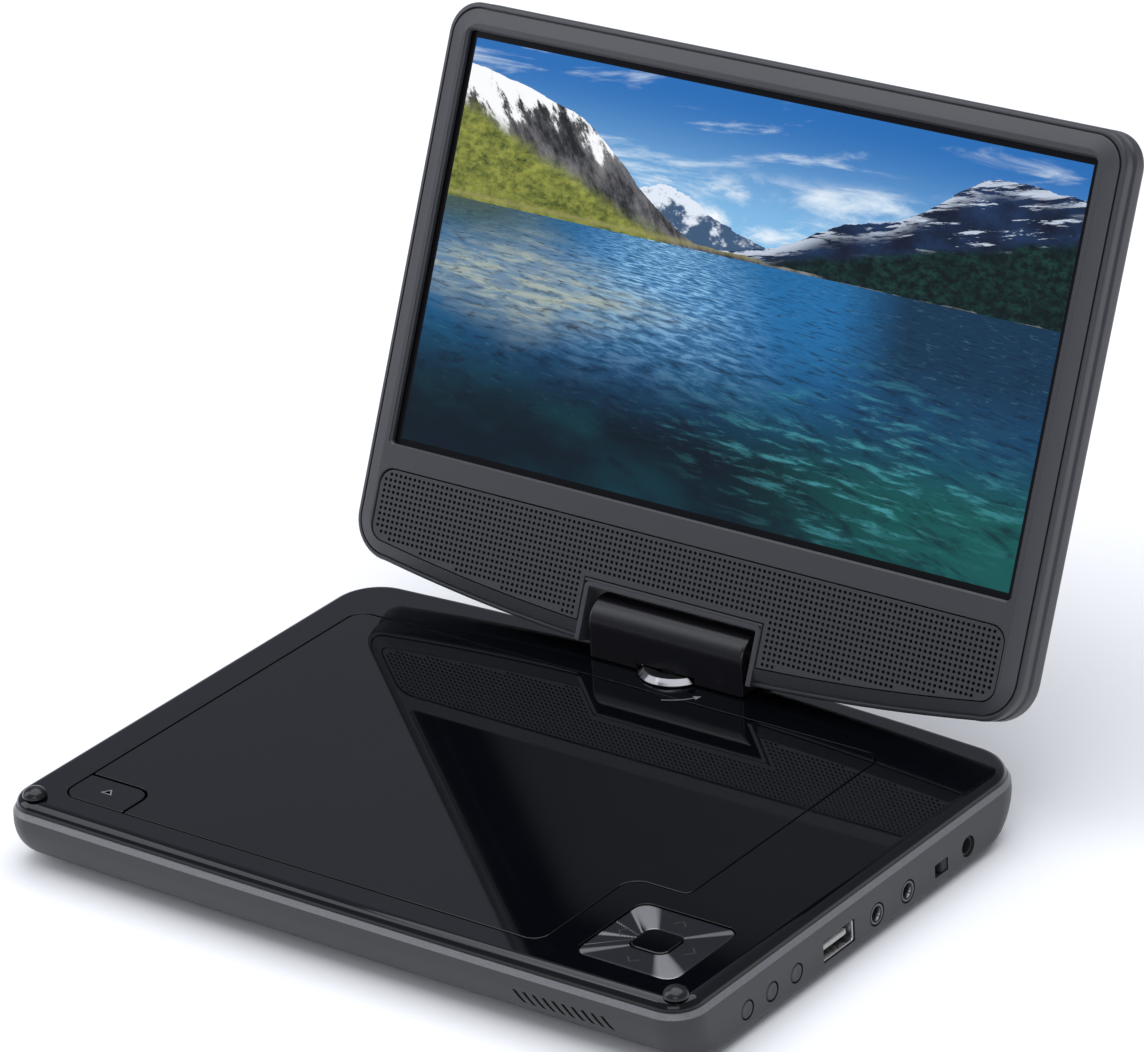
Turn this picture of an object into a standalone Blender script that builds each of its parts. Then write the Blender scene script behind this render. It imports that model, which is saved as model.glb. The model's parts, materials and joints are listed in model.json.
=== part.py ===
"""Portable DVD player: clamshell body, swivelling screen, disc drive and controls.

Everything is laid out from the hinge: x = 0 is the middle of the player, y = 0 is the tilt axis of
the screen, z = 0 is the table. The last step moves the whole player so that the world origin is the
middle of its footprint. Lengths are in metres.
"""

import math

import bmesh
import bpy
from mathutils import Matrix, Vector

MM = 0.001

# ---- fits ---------------------------------------------------------------------------------------
GAP = 0.3 * MM             # clearance between pieces that touch
DOOR_GAP = 0.45 * MM       # visible seam round the disc door and the open key
KEY_GAP = 0.3 * MM         # seam round the other keys
RUN = 0.4 * MM             # clearance under turning pieces

# ---- body ---------------------------------------------------------------------------------------
BASE_WIDTH = 217.0 * MM
BASE_FRONT = 151.3 * MM    # from the tilt axis forward to the front wall
BASE_REAR = 8.6 * MM       # from the tilt axis back to the rear wall
BASE_LEFT_MORE = 2.8 * MM  # the base reaches this much past the screen half on its left
FRONT_BOW = 0.9 * MM       # how far the front wall falls back at its ends
REAR_BOW = 4.6 * MM        # how far the rear wall comes forward at its ends
FOOT_HEIGHT = 2.0 * MM
BODY_HEIGHT = 18.0 * MM    # underside of the tub to the deck
WALL = 1.8 * MM
FLOOR = 1.6 * MM
DECK_SKIN = 1.6 * MM
CORNER = 9.5 * MM          # plan radius of the body's front corners
REAR_CORNER_MORE = 5.5 * MM # the rear corners are this much rounder
FRONT_ROLL = 11.0 * MM     # radius that rolls the front wall under
REAR_ROLL = 12.0 * MM
SIDE_ROLL = 2.4 * MM
STRIP_DROP = 3.1 * MM      # deck down to the top of the satin chamfer
STRIP_HEIGHT = 1.5 * MM
STRIP_INSET = 0.9 * MM
COVER_ROLL = 3.0 * MM      # rolled edge of the gloss cover

# ---- disc door and drive ------------------------------------------------------------------------
DOOR_LEFT = -98.1 * MM
DOOR_RIGHT = 75.6 * MM
DOOR_FRONT = -140.6 * MM
DOOR_REAR = -15.1 * MM
DOOR_STEP_X = 58.0 * MM    # the door gives way to the keypad right of this
DOOR_STEP_Y = -102.2 * MM
DOOR_CORNER = 5.0 * MM
DOOR_AXIS_IN = 5.4 * MM    # pivot in front of the door's rear edge
DOOR_AXIS_DROP = 1.6 * MM  # pivot below the deck
DOOR_PIN_RADIUS = 0.8 * MM
DISC_CENTRE = Vector((-11.3 * MM, -77.8 * MM, 0.0))
WELL_RADIUS = 62.4 * MM
WELL_WALL = 1.5 * MM
TRAY_BOTTOM = 11.8 * MM
TRAY_FLOOR = 1.4 * MM
TRAY_MARGIN = 5.0 * MM     # tray beyond the door's opening
HUB_RADIUS = 14.0 * MM
SPIGOT_RADIUS = 7.4 * MM
MOTOR_RADIUS = 11.0 * MM
ROD_RADIUS = 1.5 * MM
ROD_SPREAD = 19.0 * MM     # each rod from the sled's centre line
ROD_LEVEL = 7.6 * MM
SLED_LENGTH = 22.0 * MM
SLED_WIDTH = 30.0 * MM
SLED_START = 24.0 * MM     # lens to spindle at rest
SLED_TRAVEL = 34.0 * MM

# ---- keys ---------------------------------------------------------------------------------------
OPEN_KEY_WIDTH = 21.4 * MM
OPEN_KEY_DEPTH = 13.1 * MM
OPEN_KEY_TRAVEL = 0.8 * MM
PAD_CENTRE = Vector((82.3 * MM, -125.0 * MM, 0.0))
PAD_WIDTH = 29.8 * MM
PAD_DEPTH = 28.8 * MM
PAD_CORNER = 3.6 * MM
OK_WIDTH = 11.0 * MM
OK_DEPTH = 10.2 * MM
OK_CORNER = 2.6 * MM
PAD_SINK = 0.25 * MM       # the pad lies this far below the deck
SIDE_KEY_RADIUS = 2.4 * MM
SIDE_KEY_PLACES = (-103.4 * MM, -114.0 * MM, -124.5 * MM)
SIDE_KEY_LEVEL = 8.0 * MM

# ---- sockets in the right wall ------------------------------------------------------------------
DC_PLACE = -26.4 * MM
SWITCH_PLACE = -38.8 * MM
JACK_PLACES = (-54.2 * MM, -68.1 * MM)
USB_PLACE = -84.9 * MM
SOCKET_LEVEL = 7.8 * MM
DC_RADIUS = 2.6 * MM
JACK_RADIUS = 2.9 * MM
JACK_BORE = 1.75 * MM
USB_WIDTH = 13.2 * MM
USB_HEIGHT = 5.8 * MM
SWITCH_SLOT = 6.0 * MM
SWITCH_SLOT_HEIGHT = 3.7 * MM
SWITCH_TRAVEL = 2.6 * MM

# ---- hinge --------------------------------------------------------------------------------------
AXIS_ABOVE_DECK = 9.6 * MM
SWIVEL_Y = -2.0 * MM
SWIVEL_DISC = 10.2 * MM
SWIVEL_DISC_HEIGHT = 1.7 * MM
POST_RADIUS = 4.2 * MM
BUSH_RADIUS = 6.0 * MM
BARREL_RADIUS = 6.8 * MM
BARREL_HALF = 25.2 * MM
PIN_RADIUS = 2.0 * MM
LID_LEAN = math.radians(23.9)

# ---- screen half, measured from the tilt axis ---------------------------------------------------
LID_WIDTH = BASE_WIDTH
LID_TOP = 154.9 * MM
LID_BOTTOM = -7.9 * MM     # lowest point, at the notch
LID_BOTTOM_RISE = 7.4 * MM # how far the bottom edge climbs towards the sides
LID_TOP_CORNER = 9.0 * MM
LID_LOW_CORNER = 12.0 * MM
LID_FRONT = 6.3 * MM       # front face ahead of the axis
LID_BACK = 8.9 * MM        # back behind the axis
LID_SPLIT = 1.0 * MM       # seam between the bezel and the back
LID_WALL = 1.8 * MM
NOTCH_HALF = 27.3 * MM
NOTCH_TOP = 7.5 * MM
SCREEN_WIDTH = 198.0 * MM
SCREEN_HEIGHT = 111.7 * MM
SCREEN_LOW = 33.6 * MM
RECESS_MARGIN = 1.8 * MM   # bezel opening beyond the picture
PANEL_FACE = 4.0 * MM      # picture plane ahead of the axis
GRILLE_HALF = 102.0 * MM
GRILLE_TOP = 25.1 * MM
GRILLE_RISE = 5.0 * MM     # grille's lower edge above the lid's
GRILLE_CORNER = 4.5 * MM

# ---- levels worked out from the sizes -----------------------------------------------------------
TUB_LOW = FOOT_HEIGHT
DECK = FOOT_HEIGHT + BODY_HEIGHT
UNDER_DECK = DECK - DECK_SKIN
FLOOR_TOP = TUB_LOW + FLOOR
STRIP_TOP = DECK - STRIP_DROP
STRIP_LOW = STRIP_TOP - STRIP_HEIGHT
HALF = BASE_WIDTH / 2
AXIS_Z = DECK + AXIS_ABOVE_DECK
TRAY_TOP = UNDER_DECK - GAP - 0.2 * MM
TRAY_DECK = TRAY_BOTTOM + TRAY_FLOOR
DOOR_AXIS = Vector((0.0, DOOR_REAR - DOOR_GAP - DOOR_AXIS_IN, DECK - DOOR_AXIS_DROP))
CHASSIS_TOP = FLOOR_TOP + GAP + 1.2 * MM
SCREW_X = HALF - 16 * MM
SCREW_HEAD = TUB_LOW + 0.5 * MM
SCREW_PLACES = ((-BASE_FRONT + FRONT_ROLL + 20 * MM, "front"), (BASE_REAR - REAR_ROLL - 5 * MM, "rear"))
LEFT, RIGHT = -1, 1

parts = bpy.data.collections.new("dvd_player")
cutters = bpy.data.collections.new("cutters")


# ---- tools --------------------------------------------------------------------------------------
def clear_scene():
    for item in list(bpy.data.objects):
        bpy.data.objects.remove(item, do_unlink=True)
    for group in (parts, cutters):
        bpy.context.scene.collection.children.link(group)


def material(name, colour, roughness=0.5, metallic=0.0):
    made = bpy.data.materials.new(name)
    made.use_nodes = True
    shader = made.node_tree.nodes["Principled BSDF"]
    shader.inputs["Base Color"].default_value = (*colour, 1.0)
    shader.inputs["Roughness"].default_value = roughness
    shader.inputs["Metallic"].default_value = metallic
    return made


def object_from(bm, name):
    mesh = bpy.data.meshes.new(name)
    bmesh.ops.recalc_face_normals(bm, faces=bm.faces)
    bm.to_mesh(mesh)
    bm.free()
    made = bpy.data.objects.new(name, mesh)
    cutters.objects.link(made)
    return made


def box(low, high):
    """A block between two opposite corners."""
    low, high = Vector(low), Vector(high)
    size = high - low
    bm = bmesh.new()
    bmesh.ops.create_cube(bm, size=1.0, matrix=Matrix.Translation((low + high) / 2) @ Matrix.Diagonal((*size, 1)))
    return object_from(bm, "box")


def rod(radius, start, end, top_radius=None, segments=32):
    """A round bar or cone from start to end."""
    start, end = Vector(start), Vector(end)
    along = end - start
    turn = Vector((0, 0, 1)).rotation_difference(along).to_matrix().to_4x4()
    bm = bmesh.new()
    bmesh.ops.create_cone(
        bm, cap_ends=True, segments=segments, radius1=radius,
        radius2=radius if top_radius is None else top_radius, depth=along.length,
        matrix=Matrix.Translation((start + end) / 2) @ turn)
    return object_from(bm, "rod")


def turned(profile, centre, segments=40):
    """A turned shape about a vertical axis; the profile runs from its top down."""
    mesh = bpy.data.meshes.new("profile")
    mesh.from_pydata([(r, 0, z) for r, z in profile], [(i, i + 1) for i in range(len(profile) - 1)], [])
    made = bpy.data.objects.new("turned", mesh)
    cutters.objects.link(made)
    spin = made.modifiers.new("turn", "SCREW")
    spin.steps = spin.render_steps = segments
    spin.use_merge_vertices = True
    spin.merge_threshold = 0.00001
    spin.use_normal_calculate = False
    made.location = centre
    return baked(made)


def rounded(points, arc_steps=6):
    """Outline with round corners from (x, y, radius) points in order."""
    outline = []
    count = len(points)
    for i, (x, y, radius) in enumerate(points):
        here = Vector((x, y))
        before = (Vector(points[i - 1][:2]) - here).normalized()
        after = (Vector(points[(i + 1) % count][:2]) - here).normalized()
        if radius <= 0:
            outline.append(here)
            continue
        half_angle = before.angle(after) / 2
        reach = radius / math.tan(half_angle)
        centre = here + (before + after).normalized() * (radius / math.sin(half_angle))
        first = here + before * reach - centre
        last = here + after * reach - centre
        sweep = first.angle_signed(last)
        for k in range(arc_steps + 1):
            outline.append(centre + Matrix.Rotation(-sweep * k / arc_steps, 2) @ first)
    return outline


def plate(outline, low, high):
    """A flat outline made solid between two heights."""
    shape = bpy.data.curves.new("outline", "CURVE")
    shape.dimensions = "2D"
    shape.fill_mode = "BOTH"
    shape.extrude = (high - low) / 2
    spline = shape.splines.new("POLY")
    spline.points.add(len(outline) - 1)
    for point, place in zip(spline.points, outline):
        point.co = (*place[:2], 0, 1)
    spline.use_cyclic_u = True
    made = bpy.data.objects.new("plate", shape)
    cutters.objects.link(made)
    made.location.z = (low + high) / 2
    return baked(made)


def loft(sections):
    """A solid through rings of equally many points, closed by its first and last ring."""
    bm = bmesh.new()
    rings = [[bm.verts.new(p) for p in ring] for ring in sections]
    count = len(rings[0])
    for lower, upper in zip(rings, rings[1:]):
        for i in range(count):
            j = (i + 1) % count
            bm.faces.new((lower[i], lower[j], upper[j], upper[i]))
    bm.faces.new(rings[0])
    bm.faces.new(rings[-1])
    return object_from(bm, "loft")


def baked(item):
    """Replaces an object by the plain welded mesh that its modifiers or curve give."""
    graph = bpy.context.evaluated_depsgraph_get()
    mesh = bpy.data.meshes.new_from_object(item.evaluated_get(graph))
    mesh.transform(item.matrix_basis)
    bm = bmesh.new()
    bm.from_mesh(mesh)
    bmesh.ops.remove_doubles(bm, verts=bm.verts, dist=0.000002)
    bm.to_mesh(mesh)
    bm.free()
    made = bpy.data.objects.new(item.name, mesh)
    cutters.objects.link(made)
    bpy.data.objects.remove(item, do_unlink=True)
    return made


def combine(body, other, operation):
    step = body.modifiers.new(operation.lower(), "BOOLEAN")
    step.operation = operation
    step.solver = "EXACT"
    step.object = other
    made = baked(body)
    bpy.data.objects.remove(other, do_unlink=True)
    return made


def cut(body, *tools):
    for tool in tools:
        body = combine(body, tool, "DIFFERENCE")
    return body


def join(body, *others):
    for other in others:
        body = combine(body, other, "UNION")
    return body


def node(name, body, finish, axis=None, sharp=35.0):
    """Names a finished piece, gives it its material and hangs it on its axis."""
    body.name = name
    body.data.name = name
    body.data.materials.clear()
    body.data.materials.append(finish)
    body.data.shade_smooth()
    body.data.set_sharp_from_angle(angle=math.radians(sharp))
    cutters.objects.unlink(body)
    parts.objects.link(body)
    if axis is None:
        body.parent = root
    else:
        body.data.transform(Matrix.Translation(-axis["at"]))
        body.parent = axis["empty"]
    return body


def axis_at(name, at, parent=None, lean=0.0):
    """An empty on a joint's axis; pieces are drawn in the player's frame and moved onto it."""
    empty = bpy.data.objects.new(name, None)
    parts.objects.link(empty)
    at = Vector(at)
    empty.parent = parent["empty"] if parent else root
    empty.location = at - (parent["at"] if parent else Vector())
    empty.rotation_euler.x = -lean
    return {"empty": empty, "at": at}


# ---- outlines -----------------------------------------------------------------------------------
def body_outline(side, front, rear, radius):
    """Plan of the body, set in by its own amount on the sides, the front and the rear, which bow a little."""
    left, right = side - HALF - BASE_LEFT_MORE, HALF - side
    y0 = -BASE_FRONT + front
    y1 = BASE_REAR - rear
    middle, reach = (left + right) / 2, (right - left) / 2
    big = radius + REAR_CORNER_MORE
    back = [(middle + s * reach, y1 - REAR_BOW * s * s, 0) for s in (0.66, 0.33, 0.0, -0.33, -0.66)]
    ahead = [(middle + s * reach, y0 + FRONT_BOW * s * s, 0) for s in (-0.6, 0.0, 0.6)]
    return rounded([(right, y0 + FRONT_BOW, radius), (right, y1 - REAR_BOW, big)] + back
                   + [(left, y1 - REAR_BOW, big), (left, y0 + FRONT_BOW, radius)] + ahead, 7)


def rolled(height, radius):
    """How far a wall has rolled under at a height above the underside."""
    rise = max(radius - height, 0.0)
    return radius - math.sqrt(max(radius * radius - rise * rise, 0.0))


def door_outline(shrink):
    """Opening for the door and the open key together."""
    s = shrink
    r = DOOR_CORNER
    return [
        (DOOR_LEFT + s, DOOR_FRONT + s, r - s), (DOOR_STEP_X - s, DOOR_FRONT + s, r - s),
        (DOOR_STEP_X - s, DOOR_STEP_Y + s, r + s), (DOOR_RIGHT - s, DOOR_STEP_Y + s, 2.5 * MM - s),
        (DOOR_RIGHT - s, DOOR_REAR - s, r - s), (DOOR_LEFT + s, DOOR_REAR - s, r - s)]


def key_outline(shrink):
    """Open key: two opposite corners are round and two are sharp."""
    x0 = DOOR_LEFT + shrink
    x1 = DOOR_LEFT + OPEN_KEY_WIDTH - shrink
    y0 = DOOR_FRONT + shrink
    y1 = DOOR_FRONT + OPEN_KEY_DEPTH - shrink
    r = DOOR_CORNER - shrink
    return [(x0, y0, r), (x1, y0, 0.6 * MM), (x1, y1, r), (x0, y1, 0.6 * MM)]


def lid_outline(inset, steps=10):
    """Outline of the screen half as (x, height) points, anticlockwise from the lower left."""
    x = LID_WIDTH / 2 - inset
    top = LID_TOP - inset
    low_radius = LID_LOW_CORNER - inset
    reach = x - low_radius
    low = [(-reach + 2 * reach * k / steps) for k in range(steps + 1)]
    bottom = [Vector((a, lid_bottom(a) + inset)) for a in low]
    points = [Vector((p.x, p.y)) for p in bottom]
    side = bottom[-1].y + low_radius
    points += arc((reach, side), low_radius, -90, 0, 6)[1:]
    r = LID_TOP_CORNER - inset
    points += arc((x - r, top - r), r, 0, 90, 6)
    points += arc((-x + r, top - r), r, 90, 180, 6)
    points += arc((-reach, side), low_radius, 180, 270, 6)[:-1]
    return points


def lid_bottom(x):
    """Height of the lid's lower edge, a shallow arc that climbs towards the sides."""
    return LID_BOTTOM + LID_BOTTOM_RISE * (x / (LID_WIDTH / 2 - LID_LOW_CORNER)) ** 2


def arc(centre, radius, start, end, steps):
    turns = [math.radians(start + (end - start) * k / steps) for k in range(steps + 1)]
    return [Vector((centre[0] + radius * math.cos(a), centre[1] + radius * math.sin(a))) for a in turns]


def grille_outline(shrink):
    """Speaker grille: follows the lid's lower edge and stops at the hinge notch."""
    x = GRILLE_HALF - shrink
    notch = NOTCH_HALF + 1.7 * MM + shrink
    lift = GRILLE_RISE + shrink
    steps = 5
    ends = (notch, x - GRILLE_CORNER)
    right = [notch + (ends[1] - notch) * k / steps for k in range(steps + 1)]
    low_right = [Vector((a, lid_bottom(a) + lift)) for a in right]
    low_left = [Vector((-p.x, p.y)) for p in reversed(low_right)]
    r = GRILLE_CORNER
    top = GRILLE_TOP - shrink
    side = low_right[-1].y + r
    points = low_right + arc((x - r, side), r, -90, 0, 5)[1:]
    points += arc((x - r, top - r), r, 0, 90, 5) + arc((-x + r, top - r), r, 90, 180, 5)
    points += arc((-x + r, side), r, 180, 270, 5)[:-1] + low_left
    step = NOTCH_TOP + 2.2 * MM + shrink
    points += [Vector((-notch, step)), Vector((notch, step))]
    return points


def upright(outline, front, back):
    """A lid outline made solid between two distances ahead of the tilt axis."""
    made = plate(outline, back, front)
    made.data.transform(Matrix.Rotation(math.radians(90), 4, "X"))
    return made


def on_lid(x, ahead, height):
    """Place in the lid's own frame, where y points backwards."""
    return Vector((x, -ahead, height))


# ---- scene and finishes -------------------------------------------------------------------------
clear_scene()
root = bpy.data.objects.new("player", None)
parts.objects.link(root)

gloss_black = material("gloss_black", (0.006, 0.006, 0.008), 0.06)
satin_black = material("satin_black", (0.018, 0.018, 0.020), 0.45)
charcoal = material("charcoal_plastic", (0.035, 0.036, 0.040), 0.42)
chrome = material("chrome", (0.80, 0.80, 0.82), 0.08, 1.0)
steel = material("steel", (0.55, 0.55, 0.56), 0.3, 1.0)
rubber = material("rubber", (0.02, 0.02, 0.02), 0.75)
board_green = material("circuit_board", (0.02, 0.12, 0.05), 0.5)
drive_grey = material("drive_plastic", (0.05, 0.05, 0.055), 0.5)
glass_black = material("screen_glass", (0.02, 0.05, 0.08), 0.1)
lens_glass = material("lens_glass", (0.25, 0.35, 0.6), 0.05)
pack_blue = material("battery_wrap", (0.05, 0.09, 0.22), 0.4)

# ---- axes ---------------------------------------------------------------------------------------
door_axis = axis_at("door_axis", DOOR_AXIS)
swivel_axis = axis_at("swivel_axis", (0, SWIVEL_Y, DECK))
tilt_axis = axis_at("tilt_axis", (0, 0, AXIS_Z), swivel_axis, LID_LEAN)
lid = {"empty": tilt_axis["empty"], "at": Vector()}
spindle_axis = axis_at("spindle_axis", (DISC_CENTRE.x, DISC_CENTRE.y, TRAY_BOTTOM))


# ---- body shells --------------------------------------------------------------------------------
def tub_sections(wall):
    """Rings of the lower shell from its underside to the top of the satin strip."""
    floor = TUB_LOW + (FLOOR if wall else 0.0)
    spread = STRIP_LOW - TUB_LOW - (FLOOR if wall else 0.0)
    rings = []
    for share in (0.0, 0.03, 0.1, 0.2, 0.34, 0.55, 0.8, 1.0):
        rise = spread * share
        front = rolled(rise, FRONT_ROLL - wall) + wall
        rear = rolled(rise, REAR_ROLL - wall) + wall
        side = rolled(rise, max(SIDE_ROLL - wall, 0.4 * MM)) + wall
        ring = body_outline(side, front, rear, CORNER - wall * 0.5)
        rings.append([(p.x, p.y, floor + rise) for p in ring])
    top = STRIP_TOP + (1.0 * MM if wall else 0.0)
    inset = STRIP_INSET + wall
    rings.append([(p.x, p.y, top) for p in body_outline(inset, inset, inset, CORNER - inset)])
    return rings


def wall_hole(radius, y, z):
    return rod(radius, (HALF - 5 * MM, y, z), (HALF + 2 * MM, y, z))


def bottom_shell():
    body = loft(tub_sections(0.0))
    body = cut(body, loft(tub_sections(WALL)))
    for y in JACK_PLACES:
        body = cut(body, wall_hole(JACK_RADIUS + GAP, y, SOCKET_LEVEL))
    body = cut(body, wall_hole(DC_RADIUS + GAP, DC_PLACE, SOCKET_LEVEL))
    for y in SIDE_KEY_PLACES:
        body = cut(body, wall_hole(SIDE_KEY_RADIUS + KEY_GAP, y, SIDE_KEY_LEVEL))
    half, tall = USB_WIDTH / 2 + GAP, USB_HEIGHT / 2 + GAP
    body = cut(body, box((HALF - 4 * MM, USB_PLACE - half, SOCKET_LEVEL + 0.4 * MM - tall),
                         (HALF + MM, USB_PLACE + half, SOCKET_LEVEL + 0.4 * MM + tall)))
    half, tall = SWITCH_SLOT / 2, SWITCH_SLOT_HEIGHT / 2
    body = cut(body, box((HALF - 4 * MM, SWITCH_PLACE - half, SOCKET_LEVEL - 0.4 * MM - tall),
                         (HALF + MM, SWITCH_PLACE + half, SOCKET_LEVEL - 0.4 * MM + tall)))
    for y, _ in SCREW_PLACES:
        for x in (-SCREW_X, SCREW_X):
            stand = rod(3.6 * MM, (x, y, TUB_LOW + 0.4 * MM), (x, y, SCREW_HEAD + 3.4 * MM), segments=24)
            seat = rod(2.2 * MM + GAP, (x, y, 0), (x, y, SCREW_HEAD + MM + GAP), segments=20)
            shank = rod(1.0 * MM + GAP, (x, y, 0), (x, y, SCREW_HEAD + 5 * MM), segments=16)
            body = cut(join(body, stand), seat, shank)
    return node("bottom_shell", body, satin_black)


def top_cover():
    """Gloss deck with a rolled edge; it stands inside the tub's rim."""
    edge = STRIP_INSET + GAP
    low = STRIP_TOP + GAP
    outer = []
    for turn in (0, 20, 40, 60, 78, 90):
        a = math.radians(turn)
        inset = edge + COVER_ROLL * (1 - math.cos(a))
        z = low + (DECK - low) * math.sin(a)
        outer.append([(p.x, p.y, z) for p in body_outline(inset, inset, inset, CORNER - inset)])
    skirt = [(p.x, p.y, low) for p in body_outline(edge, edge, edge, CORNER - edge)]
    body = loft([skirt] + outer[1:])
    inner = edge + WALL
    body = cut(body, plate(body_outline(inner, inner, inner, CORNER - inner), low - MM, low + 0.4 * MM))
    deeper = edge + COVER_ROLL
    body = cut(body, plate(body_outline(deeper, deeper, deeper, CORNER - deeper), low - MM, UNDER_DECK))
    body = cut(body, plate(rounded(door_outline(0.0)), low - 2 * MM, DECK + MM))
    pad = block_outline(PAD_CENTRE, PAD_WIDTH + 2 * KEY_GAP, PAD_DEPTH + 2 * KEY_GAP, PAD_CORNER + KEY_GAP)
    body = cut(body, plate(pad, low - MM, DECK + MM))
    body = cut(body, rod(POST_RADIUS + RUN, (0, SWIVEL_Y, low - MM), (0, SWIVEL_Y, DECK + MM)))
    for side in (LEFT, RIGHT):
        x, y = bump_place(side)
        body = cut(body, rod(1.5 * MM + GAP, (x, y, low - MM), (x, y, DECK + MM)))
        body = cut(body, pin_pocket(side))
    return node("top_cover", body, gloss_black)


def block_outline(centre, width, depth, radius):
    x0, x1 = centre.x - width / 2, centre.x + width / 2
    y0, y1 = centre.y - depth / 2, centre.y + depth / 2
    return rounded([(x0, y0, radius), (x1, y0, radius), (x1, y1, radius), (x0, y1, radius)], 5)


def door_side(side):
    return DOOR_LEFT if side == LEFT else DOOR_RIGHT


def pin_pocket(side):
    """Room in the deck's underside for a door pin."""
    x = door_side(side)
    y, z = DOOR_AXIS.y, DOOR_AXIS.z
    r = DOOR_PIN_RADIUS + GAP
    ends = sorted((x - side * MM, x + side * 4.2 * MM))
    return box((ends[0], y - r, z - 3 * MM), (ends[1], y + r, z + r))


# ---- disc tray and door -------------------------------------------------------------------------
def disc_tray():
    """Tray with the round disc well, the trough for the door's rear edge and cradles for its pins."""
    m = TRAY_MARGIN
    outline = [
        (DOOR_LEFT - m, DOOR_FRONT - m, 3 * MM), (DOOR_STEP_X + 1.5 * MM, DOOR_FRONT - m, 3 * MM),
        (DOOR_STEP_X + 1.5 * MM, DOOR_STEP_Y + 1.5 * MM, MM), (DOOR_RIGHT + m, DOOR_STEP_Y + 1.5 * MM, MM),
        (DOOR_RIGHT + m, DOOR_REAR + 3.2 * MM, MM), (DOOR_LEFT - m, DOOR_REAR + 3.2 * MM, MM)]
    body = plate(rounded(outline, 3), TRAY_BOTTOM, TRAY_TOP)
    c = DISC_CENTRE
    well = rod(WELL_RADIUS, (c.x, c.y, TRAY_DECK), (c.x, c.y, DECK), segments=72)
    trough = box((DOOR_LEFT, DOOR_AXIS.y - 5 * MM, TRAY_DECK), (DOOR_RIGHT, DOOR_REAR + 1.4 * MM, DECK))
    latch_bay = box((DOOR_LEFT - MM, DOOR_FRONT - MM, TRAY_DECK), (DOOR_LEFT + 28 * MM, DOOR_FRONT + 15 * MM, DECK))
    hub_hole = rod(HUB_RADIUS + MM, (c.x, c.y, TRAY_BOTTOM - MM), (c.x, c.y, TRAY_DECK + MM), segments=48)
    slot = box((c.x - WELL_RADIUS + MM, c.y - 11 * MM, TRAY_BOTTOM - MM), (c.x, c.y + 11 * MM, TRAY_DECK + MM))
    body = cut(body, well, trough, latch_bay, hub_hole, slot)
    hollow = TRAY_TOP - TRAY_FLOOR
    around = WELL_RADIUS + WELL_WALL
    for x0, x1, y0, y1 in (
            (DOOR_LEFT - m + WALL, c.x - around * 0.75, DOOR_AXIS.y - 27 * MM, DOOR_AXIS.y - 7 * MM),
            (c.x + around * 0.75, DOOR_RIGHT + m - WALL, DOOR_AXIS.y - 27 * MM, DOOR_AXIS.y - 7 * MM),
            (c.x + around * 0.80, DOOR_STEP_X, DOOR_FRONT - 3 * MM, DOOR_FRONT + 22 * MM)):
        body = cut(body, box((x0, y0, TRAY_BOTTOM - MM), (x1, y1, hollow)))
    for side in (LEFT, RIGHT):
        x = door_side(side)
        r = DOOR_PIN_RADIUS + GAP
        ends = sorted((x - side * 2 * MM, x + side * 4.2 * MM))
        body = cut(body, box((ends[0], DOOR_AXIS.y - r, DOOR_AXIS.z - r), (ends[1], DOOR_AXIS.y + r, DECK)))
    return node("disc_tray", body, drive_grey)


def disc_door():
    """Door panel with an ear for the pin at each rear corner and a catch rib at the front."""
    g = DOOR_GAP
    outline = door_outline(g)
    key_x = DOOR_LEFT + OPEN_KEY_WIDTH + g
    key_y = DOOR_FRONT + OPEN_KEY_DEPTH + g
    front = outline[1:]
    corner = [(DOOR_LEFT + g, key_y, 0.6 * MM), (key_x - g * 0.5, key_y, DOOR_CORNER),
              (key_x - g * 0.5, DOOR_FRONT + g, 0.6 * MM)]
    body = plate(rounded(corner[::1] + front), UNDER_DECK, DECK)
    for side in (LEFT, RIGHT):
        x = door_side(side) - side * g
        ends = sorted((x, x - side * 5 * MM))
        y, z = DOOR_AXIS.y, DOOR_AXIS.z
        ear = box((ends[0], y - 2.4 * MM, z - 1.6 * MM), (ends[1], y + 2.4 * MM, z + 0.8 * MM))
        bore = rod(DOOR_PIN_RADIUS + 0.1 * MM, (x + side * MM, y, z), (x - side * 4 * MM, y, z), segments=16)
        body = cut(join(body, ear), bore)
    rib = box((DOOR_LEFT + 24 * MM, DOOR_FRONT + 3 * MM, UNDER_DECK - 2.2 * MM),
              (DOOR_LEFT + 26 * MM, DOOR_FRONT + 9 * MM, UNDER_DECK + 0.5 * MM))
    node("disc_door", join(body, rib), gloss_black, door_axis)
    for side, word in ((LEFT, "left"), (RIGHT, "right")):
        x = door_side(side)
        pin = rod(DOOR_PIN_RADIUS, (x - side * 3.6 * MM, DOOR_AXIS.y, DOOR_AXIS.z),
                  (x + side * 3.8 * MM, DOOR_AXIS.y, DOOR_AXIS.z), segments=16)
        node("door_pin_" + word, pin, steel, door_axis)


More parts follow.
